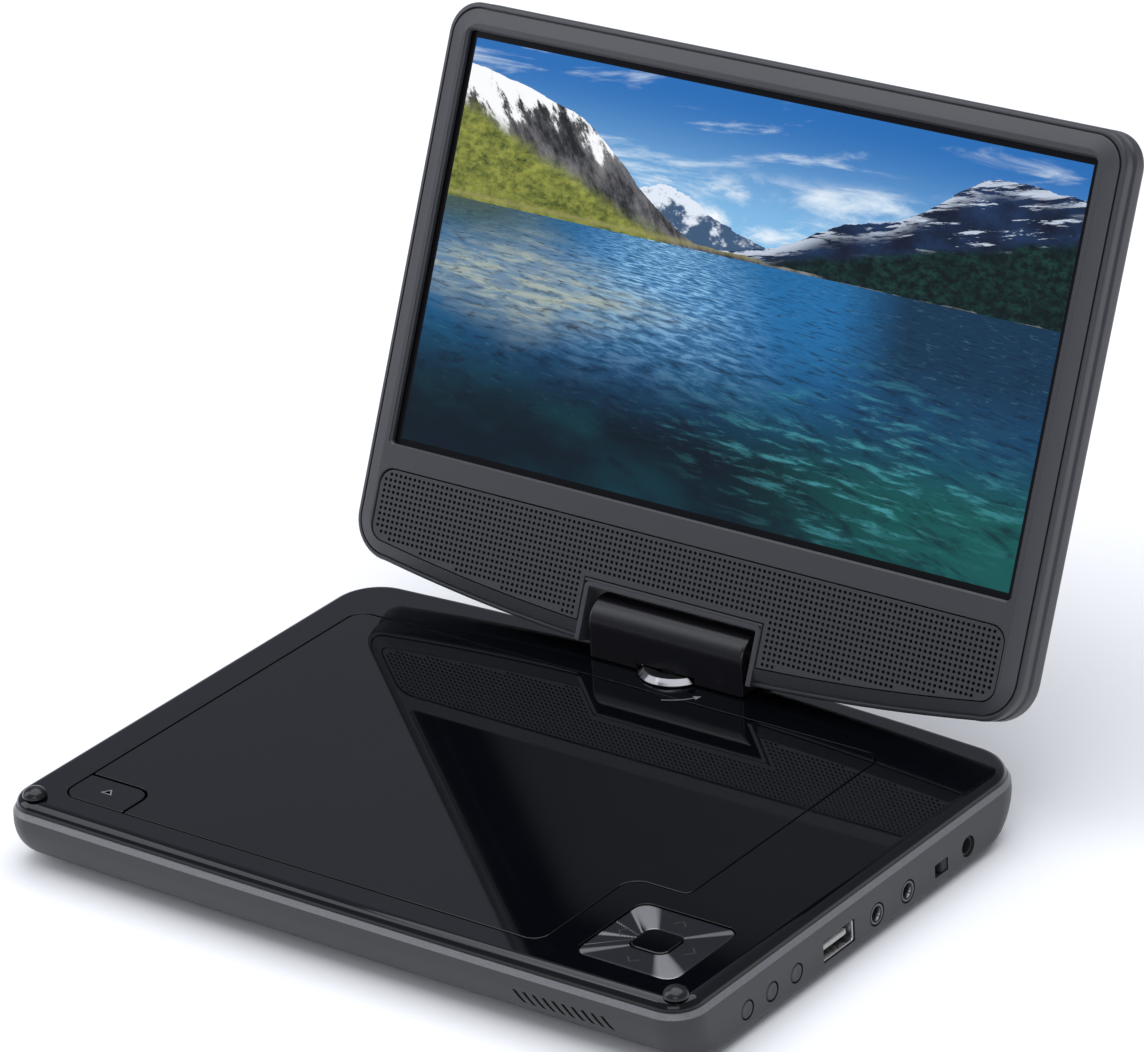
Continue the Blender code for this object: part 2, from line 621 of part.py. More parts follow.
# ---- drive --------------------------------------------------------------------------------------
def drive():
    c = DISC_CENTRE
    sled_x = c.x - SLED_START
    inner = c.x + MOTOR_RADIUS + 3 * MM
    outer = sled_x - SLED_TRAVEL - SLED_LENGTH / 2 - 4 * MM
    half = ROD_SPREAD + 4 * MM
    plate_low = FLOOR_TOP + GAP
    frame = box((outer - 3 * MM, c.y - half, plate_low), (inner + 3 * MM, c.y + half, CHASSIS_TOP))
    frame = cut(frame, box((outer + 2 * MM, c.y - 12 * MM, plate_low - MM),
                           (c.x - MOTOR_RADIUS - 4 * MM, c.y + 12 * MM, CHASSIS_TOP + MM)))
    top = ROD_LEVEL + ROD_RADIUS + 1.2 * MM
    for x in (outer, inner):
        for side in (LEFT, RIGHT):
            y = c.y + side * ROD_SPREAD
            post = box((x - 2.5 * MM, y - 2.6 * MM, CHASSIS_TOP - 0.5 * MM), (x + 2.5 * MM, y + 2.6 * MM, top))
            bore = rod(ROD_RADIUS + GAP, (x - 4 * MM, y, ROD_LEVEL), (x + 4 * MM, y, ROD_LEVEL), segments=20)
            frame = cut(join(frame, post), bore)
    node("drive_frame", frame, steel)
    for side, word in ((LEFT, "front"), (RIGHT, "rear")):
        y = c.y + side * ROD_SPREAD
        guide = rod(ROD_RADIUS, (outer - 2.2 * MM, y, ROD_LEVEL), (inner + 2.2 * MM, y, ROD_LEVEL), segments=20)
        node("guide_rod_" + word, guide, steel)

    motor = rod(MOTOR_RADIUS, (c.x, c.y, CHASSIS_TOP + GAP), (c.x, c.y, TRAY_BOTTOM - 0.8 * MM), segments=40)
    motor = cut(motor, rod(1.0 * MM + GAP, (c.x, c.y, CHASSIS_TOP + 1.2 * MM), (c.x, c.y, DECK), segments=20))
    node("spindle_motor", motor, steel)
    seat = TRAY_DECK + 1.8 * MM
    hub = turned([(0, seat + 2.2 * MM), (SPIGOT_RADIUS - 1.4 * MM, seat + 2.2 * MM), (SPIGOT_RADIUS, seat + MM),
                  (SPIGOT_RADIUS, seat), (HUB_RADIUS, seat), (HUB_RADIUS, seat - 1.4 * MM),
                  (1.0 * MM, seat - 1.4 * MM), (1.0 * MM, CHASSIS_TOP + 1.6 * MM), (0, CHASSIS_TOP + 1.6 * MM)],
                 (c.x, c.y, 0))
    node("spindle_hub", hub, satin_black, spindle_axis)

    sled_axis = axis_at("sled_axis", (sled_x, c.y, ROD_LEVEL))
    top = TRAY_BOTTOM - 0.8 * MM
    sled = box((sled_x - SLED_LENGTH / 2, c.y - SLED_WIDTH / 2, CHASSIS_TOP + 0.6 * MM),
               (sled_x + SLED_LENGTH / 2, c.y + SLED_WIDTH / 2, top))
    for side in (LEFT, RIGHT):
        y = c.y + side * ROD_SPREAD
        ear = box((sled_x - 7 * MM, min(c.y, y) if side < 0 else c.y, CHASSIS_TOP + 0.6 * MM),
                  (sled_x + 7 * MM, max(c.y, y) if side > 0 else c.y, top))
        ear.data.transform(Matrix.Translation((0, side * 3 * MM, 0)))
        bore = rod(ROD_RADIUS + GAP, (sled_x - 12 * MM, y, ROD_LEVEL), (sled_x + 12 * MM, y, ROD_LEVEL), segments=20)
        sled = cut(join(sled, ear), bore)
    lens_seat = rod(4.2 * MM, (sled_x, c.y, top - 1.2 * MM), (sled_x, c.y, DECK), segments=32)
    sled = cut(sled, lens_seat)
    screw_y = c.y - SLED_WIDTH / 2 + 4.6 * MM
    screw_low = ROD_LEVEL - 0.2 * MM
    tunnel = rod(2.0 * MM, (sled_x - 20 * MM, screw_y, screw_low), (sled_x + 20 * MM, screw_y, screw_low), segments=20)
    node("laser_sled", cut(sled, tunnel), drive_grey, sled_axis)
    lens = turned([(0, top + 1.4 * MM), (2.0 * MM, top + 1.1 * MM), (2.6 * MM, top + 0.5 * MM),
                   (3.9 * MM, top + 0.3 * MM), (3.9 * MM, top - 0.9 * MM), (0, top - 0.9 * MM)],
                  (sled_x, c.y, 0), 32)
    node("objective_lens", lens, lens_glass, sled_axis)

    screw_axis = axis_at("screw_axis", (sled_x, screw_y, screw_low))
    screw_end = c.x - MOTOR_RADIUS - 2.5 * MM
    screw = rod(1.5 * MM, (outer + 3.8 * MM, screw_y, screw_low), (screw_end, screw_y, screw_low), segments=20)
    node("lead_screw", screw, steel, screw_axis)
    motor_level = screw_low + 0.6 * MM
    motor = rod(3.2 * MM, (outer - 6 * MM, screw_y, motor_level), (outer + 3.4 * MM, screw_y, motor_level))
    motor = cut(motor, box((outer - 7 * MM, screw_y - 4 * MM, 0), (outer + 7 * MM, screw_y + 4 * MM,
                CHASSIS_TOP + GAP)))
    node("sled_motor", motor, steel)


# ---- keys ---------------------------------------------------------------------------------------
def keys():
    g = DOOR_GAP
    key_axis = axis_at("open_key_axis", (DOOR_LEFT + OPEN_KEY_WIDTH / 2, DOOR_FRONT + OPEN_KEY_DEPTH / 2, DECK))
    key = plate(rounded(key_outline(g)), UNDER_DECK - 0.8 * MM, DECK)
    stem = box((DOOR_LEFT + 8 * MM, DOOR_FRONT + 5 * MM, UNDER_DECK - 2.2 * MM),
               (DOOR_LEFT + 11 * MM, DOOR_FRONT + 8 * MM, UNDER_DECK))
    node("open_key", join(key, stem), gloss_black, key_axis)
    latch_low = TRAY_DECK + GAP
    latch_axis = axis_at("latch_axis", (DOOR_LEFT + 15 * MM, DOOR_FRONT + 6 * MM, latch_low))
    latch = box((DOOR_LEFT + 6 * MM, DOOR_FRONT + 4.4 * MM, latch_low), (DOOR_LEFT + 21 * MM, DOOR_FRONT + 8.6 * MM,
                latch_low + 1.4 * MM))
    nose = box((DOOR_LEFT + 19 * MM, DOOR_FRONT + 5 * MM, latch_low), (DOOR_LEFT + 22.6 * MM, DOOR_FRONT + 8 * MM,
               latch_low + 2.6 * MM))
    node("door_latch", join(latch, nose), drive_grey, latch_axis)

    pad_axis = axis_at("keypad_axis", (PAD_CENTRE.x, PAD_CENTRE.y, DECK))
    pad_low = UNDER_DECK - 1.0 * MM
    pad = plate(block_outline(PAD_CENTRE, PAD_WIDTH, PAD_DEPTH, PAD_CORNER), pad_low, DECK - PAD_SINK)
    hole = block_outline(PAD_CENTRE, OK_WIDTH + 2 * KEY_GAP, OK_DEPTH + 2 * KEY_GAP, OK_CORNER + KEY_GAP)
    node("keypad_plate", cut(pad, plate(hole, pad_low - MM, DECK + MM)), satin_black, pad_axis)
    ok_axis = axis_at("ok_axis", (PAD_CENTRE.x, PAD_CENTRE.y, DECK))
    button = plate(block_outline(PAD_CENTRE, OK_WIDTH, OK_DEPTH, OK_CORNER), pad_low, DECK - 0.05 * MM)
    node("ok_button", button, gloss_black, ok_axis)
    board_top = pad_low - 1.7 * MM
    board = box((PAD_CENTRE.x - 18 * MM, PAD_CENTRE.y - 16 * MM, board_top - 1.2 * MM),
                (PAD_CENTRE.x + 17 * MM, PAD_CENTRE.y + 16 * MM, board_top))
    for dx, dy in ((0, 0), (10, 0), (-10, 0), (0, 10), (0, -10)):
        spot = PAD_CENTRE + Vector((dx, dy, 0)) * MM
        dome = rod(2.2 * MM, (spot.x, spot.y, board_top - 0.3 * MM), (spot.x, spot.y, pad_low - 0.8 * MM), 1.4 * MM, 16)
        board = join(board, dome)
    node("keypad_board", board, board_green)

    for number, y in enumerate(SIDE_KEY_PLACES, 1):
        inner = HALF - WALL - GAP - 1.2 * MM
        at = (inner, y, SIDE_KEY_LEVEL)
        side_axis = axis_at("side_key_axis_%d" % number, at)
        body = rod(SIDE_KEY_RADIUS, (inner + 0.5 * MM, y, SIDE_KEY_LEVEL), (HALF, y, SIDE_KEY_LEVEL))
        flange = rod(SIDE_KEY_RADIUS + 0.8 * MM, at, (inner + 1.0 * MM, y, SIDE_KEY_LEVEL))
        node("side_key_%d" % number, join(body, flange), satin_black, side_axis)
    board_x = HALF - WALL - GAP - 1.2 * MM - 2.6 * MM
    board = box((board_x, SIDE_KEY_PLACES[-1] - 4 * MM, FLOOR_TOP + 0.6 * MM),
                (board_x + 1.2 * MM, SIDE_KEY_PLACES[0] + 4 * MM, SIDE_KEY_LEVEL + 4 * MM))
    for y in SIDE_KEY_PLACES:
        board = join(board, rod(1.4 * MM, (board_x + MM, y, SIDE_KEY_LEVEL), (board_x + 1.8 * MM, y, SIDE_KEY_LEVEL),
                                segments=16))
    node("side_key_board", board, board_green)


# ---- sockets and boards -------------------------------------------------------------------------
def sockets():
    back = HALF - 14 * MM
    face = HALF - WALL - GAP
    z = SOCKET_LEVEL
    low = FLOOR_TOP + 2.2 * MM
    for y, word in zip(JACK_PLACES, ("av_jack", "phone_jack")):
        body = box((back, y - 4 * MM, low), (face, y + 4 * MM, z + 3.6 * MM))
        nose = rod(JACK_RADIUS, (face - MM, y, z), (HALF - 0.2 * MM, y, z))
        bore = rod(JACK_BORE, (back + 1.5 * MM, y, z), (HALF + MM, y, z), segments=24)
        node(word, cut(join(body, nose), bore), satin_black)
    body = box((back, DC_PLACE - 4.4 * MM, low), (face, DC_PLACE + 4.4 * MM, z + 3.8 * MM))
    nose = rod(DC_RADIUS, (face - MM, DC_PLACE, z), (HALF - 0.6 * MM, DC_PLACE, z))
    bore = rod(DC_RADIUS - 0.5 * MM, (back + 3 * MM, DC_PLACE, z), (HALF + MM, DC_PLACE, z), segments=28)
    pin = rod(0.6 * MM, (back + MM, DC_PLACE, z), (HALF - 2.5 * MM, DC_PLACE, z), segments=16)
    node("dc_inlet", join(cut(join(body, nose), bore), pin), satin_black)

    z = SOCKET_LEVEL + 0.4 * MM
    half, tall = USB_WIDTH / 2, USB_HEIGHT / 2
    skin = 0.4 * MM
    body = box((back, USB_PLACE - half, z - tall), (HALF - 0.5 * MM, USB_PLACE + half, z + tall))
    mouth = box((back + 2 * MM, USB_PLACE - half + skin, z - tall + skin),
                (HALF + MM, USB_PLACE + half - skin, z + tall - skin))
    tongue = box((back + MM, USB_PLACE - 5.5 * MM, z + 0.4 * MM), (HALF - 3 * MM, USB_PLACE + 5.5 * MM, z + 1.9 * MM))
    node("usb_port", join(cut(body, mouth), tongue), steel)

    z = SOCKET_LEVEL - 0.4 * MM
    body = box((back + 3 * MM, SWITCH_PLACE - 5.4 * MM, low), (HALF - 5 * MM, SWITCH_PLACE + 5.4 * MM, z + 3 * MM))
    node("switch_body", body, steel)
    knob_y = SWITCH_PLACE + SWITCH_SLOT / 2 - 1.7 * MM
    knob_axis = axis_at("switch_axis", (HALF - 2 * MM, knob_y, z))
    knob = box((HALF - 4.6 * MM, knob_y - 1.4 * MM, z - 1.5 * MM), (HALF - 0.2 * MM, knob_y + 1.4 * MM, z + 1.5 * MM))
    node("switch_knob", knob, satin_black, knob_axis)

    board_low = FLOOR_TOP + 0.4 * MM
    board = box((62 * MM, SIDE_KEY_PLACES[0] + 6 * MM, board_low), (HALF - 4 * MM, -14 * MM, board_low + MM))
    chip = box((72 * MM, -62 * MM, board_low + 0.8 * MM), (86 * MM, -48 * MM, board_low + 2.4 * MM))
    small = box((72 * MM, -84 * MM, board_low + 0.8 * MM), (84 * MM, -76 * MM, board_low + 2.0 * MM))
    node("main_board", join(board, chip, small), board_green)
    pack = box((DOOR_LEFT + 6 * MM, -46 * MM, FLOOR_TOP + GAP), (-26 * MM, -13 * MM, TRAY_BOTTOM - GAP))
    bevel = pack.modifiers.new("edge", "BEVEL")
    bevel.width = 1.2 * MM
    bevel.segments = 3
    node("battery_pack", baked(pack), pack_blue)


# ---- feet, bumps and screws ---------------------------------------------------------------------
def bump_place(side):
    return side * (HALF - 6.0 * MM), -BASE_FRONT + 6.2 * MM


def feet():
    height = AXIS_ABOVE_DECK - LID_FRONT - 0.5 * MM
    for side, word in ((LEFT, "left"), (RIGHT, "right")):
        x, y = bump_place(side)
        profile = [(0, DECK + height)]
        for turn in (20, 40, 60, 78, 90):
            a = math.radians(turn)
            profile.append((3.3 * MM * math.sin(a), DECK + GAP + (height - GAP) * math.cos(a)))
        profile += [(1.5 * MM, DECK + GAP), (1.5 * MM, UNDER_DECK), (0, UNDER_DECK)]
        node("deck_bump_" + word, turned(profile, (x, y, 0), 28), rubber)
        for place, end in ((-BASE_FRONT + FRONT_ROLL + 9 * MM, "front"), (BASE_REAR - REAR_ROLL - 16 * MM, "rear")):
            pad = turned([(0, TUB_LOW - GAP), (5 * MM, TUB_LOW - GAP), (5 * MM, 0.5 * MM), (4.5 * MM, 0), (0, 0)],
                         (side * (HALF - 16 * MM), place, 0), 28)
            node("foot_%s_%s" % (end, word), pad, rubber)
        for place, end in SCREW_PLACES:
            x = side * SCREW_X
            screw = turned([(0, SCREW_HEAD + 9 * MM), (1.0 * MM, SCREW_HEAD + 8 * MM), (1.0 * MM, SCREW_HEAD + MM),
                            (2.2 * MM, SCREW_HEAD + MM), (2.2 * MM, SCREW_HEAD), (0, SCREW_HEAD)], (x, place, 0), 20)
            node("case_screw_%s_%s" % (end, word), screw, steel)


# ---- hinge --------------------------------------------------------------------------------------
def hinge():
    disc_low = DECK + RUN
    disc_top = disc_low + SWIVEL_DISC_HEIGHT
    y = SWIVEL_Y
    bore = 6.0 * MM
    disc = turned([(bore, disc_top), (SWIVEL_DISC - 1.6 * MM, disc_top), (SWIVEL_DISC, disc_low + 0.3 * MM),
                   (SWIVEL_DISC, disc_low), (bore, disc_low), (bore, disc_top)], (0, y, 0), 56)
    node("swivel_disc", disc, chrome, swivel_axis)

    bracket = box((-20 * MM, -3.8 * MM, disc_top + GAP), (20 * MM, 3.8 * MM, AXIS_Z + 3.1 * MM))
    post = rod(POST_RADIUS, (0, y, DECK - 7.5 * MM), (0, y, disc_top + 0.1 * MM))
    neck = rod(3.0 * MM, (0, y, DECK), (0, y, disc_top + 1.3 * MM))
    tunnel = rod(1.8 * MM, (0, y, DECK - 9 * MM), (0, y, disc_top + 4 * MM), segments=24)
    side_way = box((-1.4 * MM, y, disc_top + 2.2 * MM), (1.4 * MM, 8 * MM, disc_top + 5 * MM))
    bracket = cut(join(bracket, post, neck), tunnel, side_way)
    for side, word in ((LEFT, "left"), (RIGHT, "right")):
        bore = rod(PIN_RADIUS + GAP, (side * 13 * MM, 0, AXIS_Z), (side * 22 * MM, 0, AXIS_Z), segments=24)
        bracket = cut(bracket, bore)
        pin = rod(PIN_RADIUS, (side * 13.4 * MM, 0, AXIS_Z), (side * (NOTCH_HALF + 9 * MM), 0, AXIS_Z), segments=24)
        node("hinge_pin_" + word, pin, steel, swivel_axis)
    node("hinge_bracket", bracket, steel, swivel_axis)
    washer = turned([(POST_RADIUS + GAP, DECK - 5.0 * MM), (BUSH_RADIUS, DECK - 5.0 * MM), (BUSH_RADIUS, DECK - 6.2 * MM),
                     (POST_RADIUS + GAP, DECK - 6.2 * MM), (POST_RADIUS + GAP, DECK - 5.0 * MM)], (0, y, 0))
    node("swivel_washer", washer, steel, swivel_axis)
    bush = turned([(POST_RADIUS + RUN, UNDER_DECK - GAP), (BUSH_RADIUS, UNDER_DECK - GAP), (BUSH_RADIUS, DECK - 4.6 * MM),
                   (POST_RADIUS + RUN, DECK - 4.6 * MM), (POST_RADIUS + RUN, UNDER_DECK - GAP)], (0, y, 0))
    node("swivel_bush", bush, drive_grey)

    low = DECK + RUN + 0.2 * MM
    arch = [(-BARREL_RADIUS, low - AXIS_Z)] + [(p.x, p.y) for p in arc((0, 0), BARREL_RADIUS, 180, 0, 20)]
    arch.append((BARREL_RADIUS, low - AXIS_Z))
    cover = arch_solid(arch, BARREL_HALF)
    inner_radius = BARREL_RADIUS - 1.5 * MM
    inside = [(-inner_radius, low - AXIS_Z - MM)] + [(p.x, p.y) for p in arc((0, 0), inner_radius, 180, 0, 16)]
    inside.append((inner_radius, low - AXIS_Z - MM))
    cover = cut(cover, arch_solid(inside, BARREL_HALF - 1.6 * MM))
    cover = cut(cover, rod(SWIVEL_DISC + GAP, (0, y, DECK - MM), (0, y, disc_top + GAP), segments=56))
    cover = cut(cover, rod(PIN_RADIUS + GAP, (-30 * MM, 0, AXIS_Z), (30 * MM, 0, AXIS_Z), segments=24))
    node("hinge_cover", cover, gloss_black, swivel_axis)


def arch_solid(outline, half):
    """An outline in the y-z plane about the tilt axis, carried along x."""
    solid = plate([Vector((p[0], p[1])) for p in outline], -half, half)
    solid.data.transform(Matrix(((0, 0, 1, 0), (1, 0, 0, 0), (0, 1, 0, AXIS_Z), (0, 0, 0, 1))))
    return solid


# ---- screen half --------------------------------------------------------------------------------
def lid_sections(steps):
    """Rings of a lid shell from (ahead, inset) pairs."""
    return [[on_lid(p.x, ahead, p.y) for p in lid_outline(inset)] for ahead, inset in steps]


def notch(front, back, grow=0.0):
    half = NOTCH_HALF + grow
    return box(on_lid(-half, front, -30 * MM), on_lid(half, back, NOTCH_TOP + grow))


def pin_bore(side):
    start = on_lid(side * (NOTCH_HALF - MM), 0, 0)
    return rod(PIN_RADIUS + GAP, start, on_lid(side * (NOTCH_HALF + 9.5 * MM), 0, 0), segments=24)


def screen_half():
    seam = GAP / 2
    bezel_low = LID_SPLIT + seam
    bezel = loft(lid_sections([(bezel_low, 0.0), (LID_FRONT - 2.2 * MM, 0.0), (LID_FRONT - 1.3 * MM, 0.5 * MM),
                               (LID_FRONT - 0.7 * MM, 2.0 * MM), (LID_FRONT, 5.6 * MM)]))
    hollow = loft(lid_sections([(bezel_low - MM, LID_WALL), (LID_FRONT - 1.9 * MM, LID_WALL)]))
    bezel = cut(bezel, hollow)
    m = RECESS_MARGIN
    opening = [(-SCREEN_WIDTH / 2 - m, SCREEN_LOW - m, 1.2 * MM), (SCREEN_WIDTH / 2 + m, SCREEN_LOW - m, 1.2 * MM),
               (SCREEN_WIDTH / 2 + m, SCREEN_LOW + SCREEN_HEIGHT + m, 1.2 * MM),
               (-SCREEN_WIDTH / 2 - m, SCREEN_LOW + SCREEN_HEIGHT + m, 1.2 * MM)]
    bezel = cut(bezel, upright(rounded(opening, 3), LID_FRONT + MM, LID_FRONT - 4 * MM))
    bezel = cut(bezel, upright(grille_outline(0.0), LID_FRONT + MM, LID_FRONT - 4 * MM))
    rim = notch(LID_FRONT - 0.2 * MM, bezel_low + 0.2 * MM, 1.4 * MM)
    rim = combine(rim, loft(lid_sections([(bezel_low, 0.15 * MM), (LID_FRONT, 0.15 * MM)])), "INTERSECT")
    bezel = cut(join(bezel, rim), notch(LID_FRONT + MM, bezel_low - MM))
    for side in (LEFT, RIGHT):
        bezel = cut(bezel, box(on_lid(side * (NOTCH_HALF - MM), bezel_low + 2.0 * MM, -3 * MM),
                               on_lid(side * (NOTCH_HALF + 9.5 * MM), bezel_low - MM, 3 * MM)))
    node("screen_bezel", bezel, charcoal, lid)

    split = LID_SPLIT - seam
    shell = loft(lid_sections([(split, 0.5 * MM), (split - 1.0 * MM, 0.5 * MM), (split - 1.6 * MM, 0.0),
                               (-4.2 * MM, 0.0), (-6.4 * MM, 2.0 * MM), (-8.0 * MM, 6.0 * MM),
                               (-LID_BACK, 11.5 * MM)]))
    inside = loft(lid_sections([(split + MM, LID_WALL), (-4.2 * MM, LID_WALL), (-5.8 * MM, LID_WALL + 3.0 * MM),
                                (-LID_BACK + 1.6 * MM, 10.0 * MM)]))
    shell = cut(shell, inside)
    frame = notch(split, -LID_BACK, 1.5 * MM)
    outer = loft(lid_sections([(split, 0.5 * MM), (-4.2 * MM, 0.5 * MM), (-6.4 * MM, 2.2 * MM), (-8.0 * MM, 6.2 * MM),
                               (-LID_BACK + 0.2 * MM, 11.5 * MM)]))
    shell = join(shell, combine(frame, outer, "INTERSECT"))
    for side in (LEFT, RIGHT):
        ends = sorted((side * (NOTCH_HALF + 0.5 * MM), side * (NOTCH_HALF + 10.5 * MM)))
        boss = box(on_lid(ends[0], split, -4.6 * MM), on_lid(ends[1], -6.0 * MM, 4.6 * MM))
        shell = join(shell, boss)
    shell = cut(shell, notch(split + MM, -LID_BACK - MM))
    relief = SWIVEL_DISC + 2 * GAP
    disc_top = SWIVEL_DISC_HEIGHT + RUN + GAP - AXIS_ABOVE_DECK
    shell = cut(shell, rod(relief, on_lid(0, -LID_BACK - MM, SWIVEL_Y), on_lid(0, disc_top, SWIVEL_Y), segments=56))
    for side in (LEFT, RIGHT):
        shell = cut(shell, pin_bore(side))
    node("screen_back", shell, charcoal, lid)

    face = PANEL_FACE
    x = SCREEN_WIDTH / 2 + 5.4 * MM
    low, high = SCREEN_LOW - 4.6 * MM, SCREEN_LOW + SCREEN_HEIGHT + 3.4 * MM
    node("lcd_panel", box(on_lid(-x, face, low), on_lid(x, face - 5.6 * MM, high)), glass_black, lid)
    grille = upright(grille_outline(0.3 * MM), LID_FRONT - 0.3 * MM, LID_FRONT - 1.5 * MM)
    node("speaker_grille", grille, charcoal, lid)
    for side, word in ((LEFT, "left"), (RIGHT, "right")):
        x, height = side * 76 * MM, 12.2 * MM
        back, front = -4.4 * MM, LID_FRONT - 1.5 * MM - GAP
        cone = rod(7.5 * MM, on_lid(x, back, height), on_lid(x, front - 2 * MM, height), 10.0 * MM, 32)
        ring = rod(10.4 * MM, on_lid(x, front - 2.4 * MM, height), on_lid(x, front, height), segments=32)
        dish = rod(3.0 * MM, on_lid(x, front - 2.0 * MM, height), on_lid(x, front + MM, height), 9.5 * MM, 32)
        node("speaker_" + word, cut(join(cone, ring), dish), satin_black, lid)
    board = box(on_lid(-52 * MM, -4.0 * MM, 11.5 * MM), on_lid(52 * MM, -5.2 * MM, 26 * MM))
    chip = box(on_lid(-14 * MM, -2.4 * MM, 14 * MM), on_lid(2 * MM, -4.4 * MM, 23 * MM))
    node("screen_board", join(board, chip), board_green, lid)


def stand_on_origin():
    """Moves the player so that the origin is the middle of its footprint."""
    bpy.context.view_layer.update()
    corners = [item.matrix_world @ v.co for item in parts.objects if item.type == "MESH" for v in item.data.vertices]
    for k in (0, 1):
        values = [c[k] for c in corners]
        root.location[k] = -(min(values) + max(values)) / 2


bottom_shell()
top_cover()
disc_tray()
disc_door()
drive()
keys()
sockets()
feet()
hinge()
screen_half()
stand_on_origin()
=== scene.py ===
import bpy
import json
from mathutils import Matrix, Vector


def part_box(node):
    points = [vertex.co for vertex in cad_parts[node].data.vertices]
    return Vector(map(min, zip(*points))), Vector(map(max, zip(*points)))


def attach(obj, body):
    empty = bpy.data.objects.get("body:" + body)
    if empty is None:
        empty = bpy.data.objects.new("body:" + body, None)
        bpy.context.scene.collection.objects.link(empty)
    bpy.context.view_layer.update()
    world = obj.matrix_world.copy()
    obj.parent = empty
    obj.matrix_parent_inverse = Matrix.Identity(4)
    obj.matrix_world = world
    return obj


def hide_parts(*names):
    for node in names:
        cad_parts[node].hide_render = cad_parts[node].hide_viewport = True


bl_info = {
    "name": "Portable disc player",
    "version": (1, 0, 0),
    "blender": (4, 5, 0),
    "location": "View3D > Sidebar > Player",
    "description": "Fine surfaces and finishes of a clamshell disc player around its packed model",
    "category": "Object",
}

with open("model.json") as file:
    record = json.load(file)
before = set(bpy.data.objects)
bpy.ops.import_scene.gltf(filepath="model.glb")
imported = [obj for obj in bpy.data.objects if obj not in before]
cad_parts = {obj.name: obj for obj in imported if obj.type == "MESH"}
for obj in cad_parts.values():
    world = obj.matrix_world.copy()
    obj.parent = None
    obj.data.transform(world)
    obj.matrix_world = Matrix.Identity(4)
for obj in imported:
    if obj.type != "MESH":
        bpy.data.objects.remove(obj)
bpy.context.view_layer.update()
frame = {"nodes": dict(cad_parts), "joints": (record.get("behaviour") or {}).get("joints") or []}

import json
import math

import bmesh
import bpy
import numpy as np
from mathutils import Matrix, Vector

# ---- measures -----------------------------------------------------------------------------------
# Lengths are in millimetres. Base pieces are drawn from the tilt axis of the screen: x to the right,
# y to the back, z up from the table. Screen pieces are drawn as (x, ahead of the axis, height).
MM = 0.001
HINGE = np.array(next(j["pos_m"] for j in frame["joints"] if j["name"] == "screen_tilt")) / MM
SWIVEL = np.array(next(j["pos_m"] for j in frame["joints"] if j["name"] == "screen_swivel")) / MM - HINGE
LEAN = math.radians(23.9)
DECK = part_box("disc_door")[1].z / MM
TUB_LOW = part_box("bottom_shell")[0].z / MM
SHIFT = np.array([HINGE[0], HINGE[1], 0.0])


def span(node):
    """Low and high corner of a packed piece, in the base's own millimetres."""
    low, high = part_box(node)
    return np.array(low) / MM - SHIFT, np.array(high) / MM - SHIFT


def middle(node):
    """Centre of a packed piece in plan."""
    low, high = span(node)
    return (low + high)[:2] / 2


LEFT_WALL, FRONT, _ = span("bottom_shell")[0]
HALF, REAR, _ = span("bottom_shell")[1]
CORNER, REAR_CORNER_MORE = 9.5, 5.5
FRONT_BOW, REAR_BOW = 0.9, 4.6
FRONT_ROLL = 11.0
REAR_ROLL = 12.0
SIDE_ROLL = 2.4
STRIP_TOP = DECK - 3.1
STRIP_LOW = DECK - 4.6
STRIP_INSET = 0.9
COVER_EDGE = STRIP_INSET + 0.3
COVER_ROLL = 3.0
WALL = 1.8
SKIN = 1.6

DOOR_LEFT, DOOR_RIGHT, DOOR_FRONT, DOOR_REAR = -98.1, 75.6, -140.6, -15.1
DOOR_STEP_X, DOOR_STEP_Y, DOOR_CORNER = 58.0, -102.2, 5.0
KEY_WIDTH, KEY_DEPTH = 21.4, 13.1
SEAM = 0.45
PAD = np.array([82.3, -125.0])
PAD_WIDTH, PAD_DEPTH, PAD_CORNER = 29.8, 28.8, 3.6
OK_WIDTH, OK_DEPTH, OK_CORNER = 11.0, 10.2, 2.6

JACKS = (-54.2, -68.1)
DC_PLACE, USB_PLACE, SWITCH_PLACE = -26.4, -84.9, -38.8
SIDE_KEYS = (-103.4, -114.0, -124.5)
SOCKET_LEVEL, SIDE_KEY_LEVEL = 7.8, 8.0

LID_HALF, LID_TOP, LID_LOW, LID_RISE = 108.5, 154.9, -7.9, 7.4
LID_TOP_CORNER, LID_LOW_CORNER = 9.0, 12.0
LID_FACE, LID_BACK = 6.3, 8.9
NOTCH_HALF, NOTCH_TOP = 27.3, 7.5
DISC_RELIEF, DISC_CLEAR = 10.8, -7.2
SCREEN_WIDTH, SCREEN_HEIGHT, SCREEN_LOW, PANEL_FACE = 198.0, 111.7, 33.6, 4.0
GRILLE_HALF, GRILLE_TOP, GRILLE_RISE, GRILLE_CORNER = 102.0, 25.1, 5.0, 4.5


# ---- outlines, as arrays of points --------------------------------------------------------------
def rounded(corners, steps=10):
    """Closed outline through (x, y, radius) corners; each corner is an arc tangent to both sides."""
    made = []
    spots = np.array([c[:2] for c in corners], float)
    for i, (_, _, radius) in enumerate(corners):
        here = spots[i]
        if radius <= 0:
            made.append(here[None])
            continue
        before = spots[i - 1] - here
        after = spots[(i + 1) % len(spots)] - here
        before, after = before / np.hypot(*before), after / np.hypot(*after)
        half = math.acos(np.clip(before @ after, -1, 1)) / 2
        middle = before + after
        centre = here + middle / np.hypot(*middle) * radius / math.sin(half)
        first = here + before * radius / math.tan(half) - centre
        last = here + after * radius / math.tan(half) - centre
        sweep = math.atan2(first[0] * last[1] - first[1] * last[0], first @ last)
        turn = np.linspace(0, sweep, steps + 1)
        c, s = np.cos(turn), np.sin(turn)
        made.append(centre + np.stack([c * first[0] - s * first[1], s * first[0] + c * first[1]], 1))
    return np.concatenate(made)


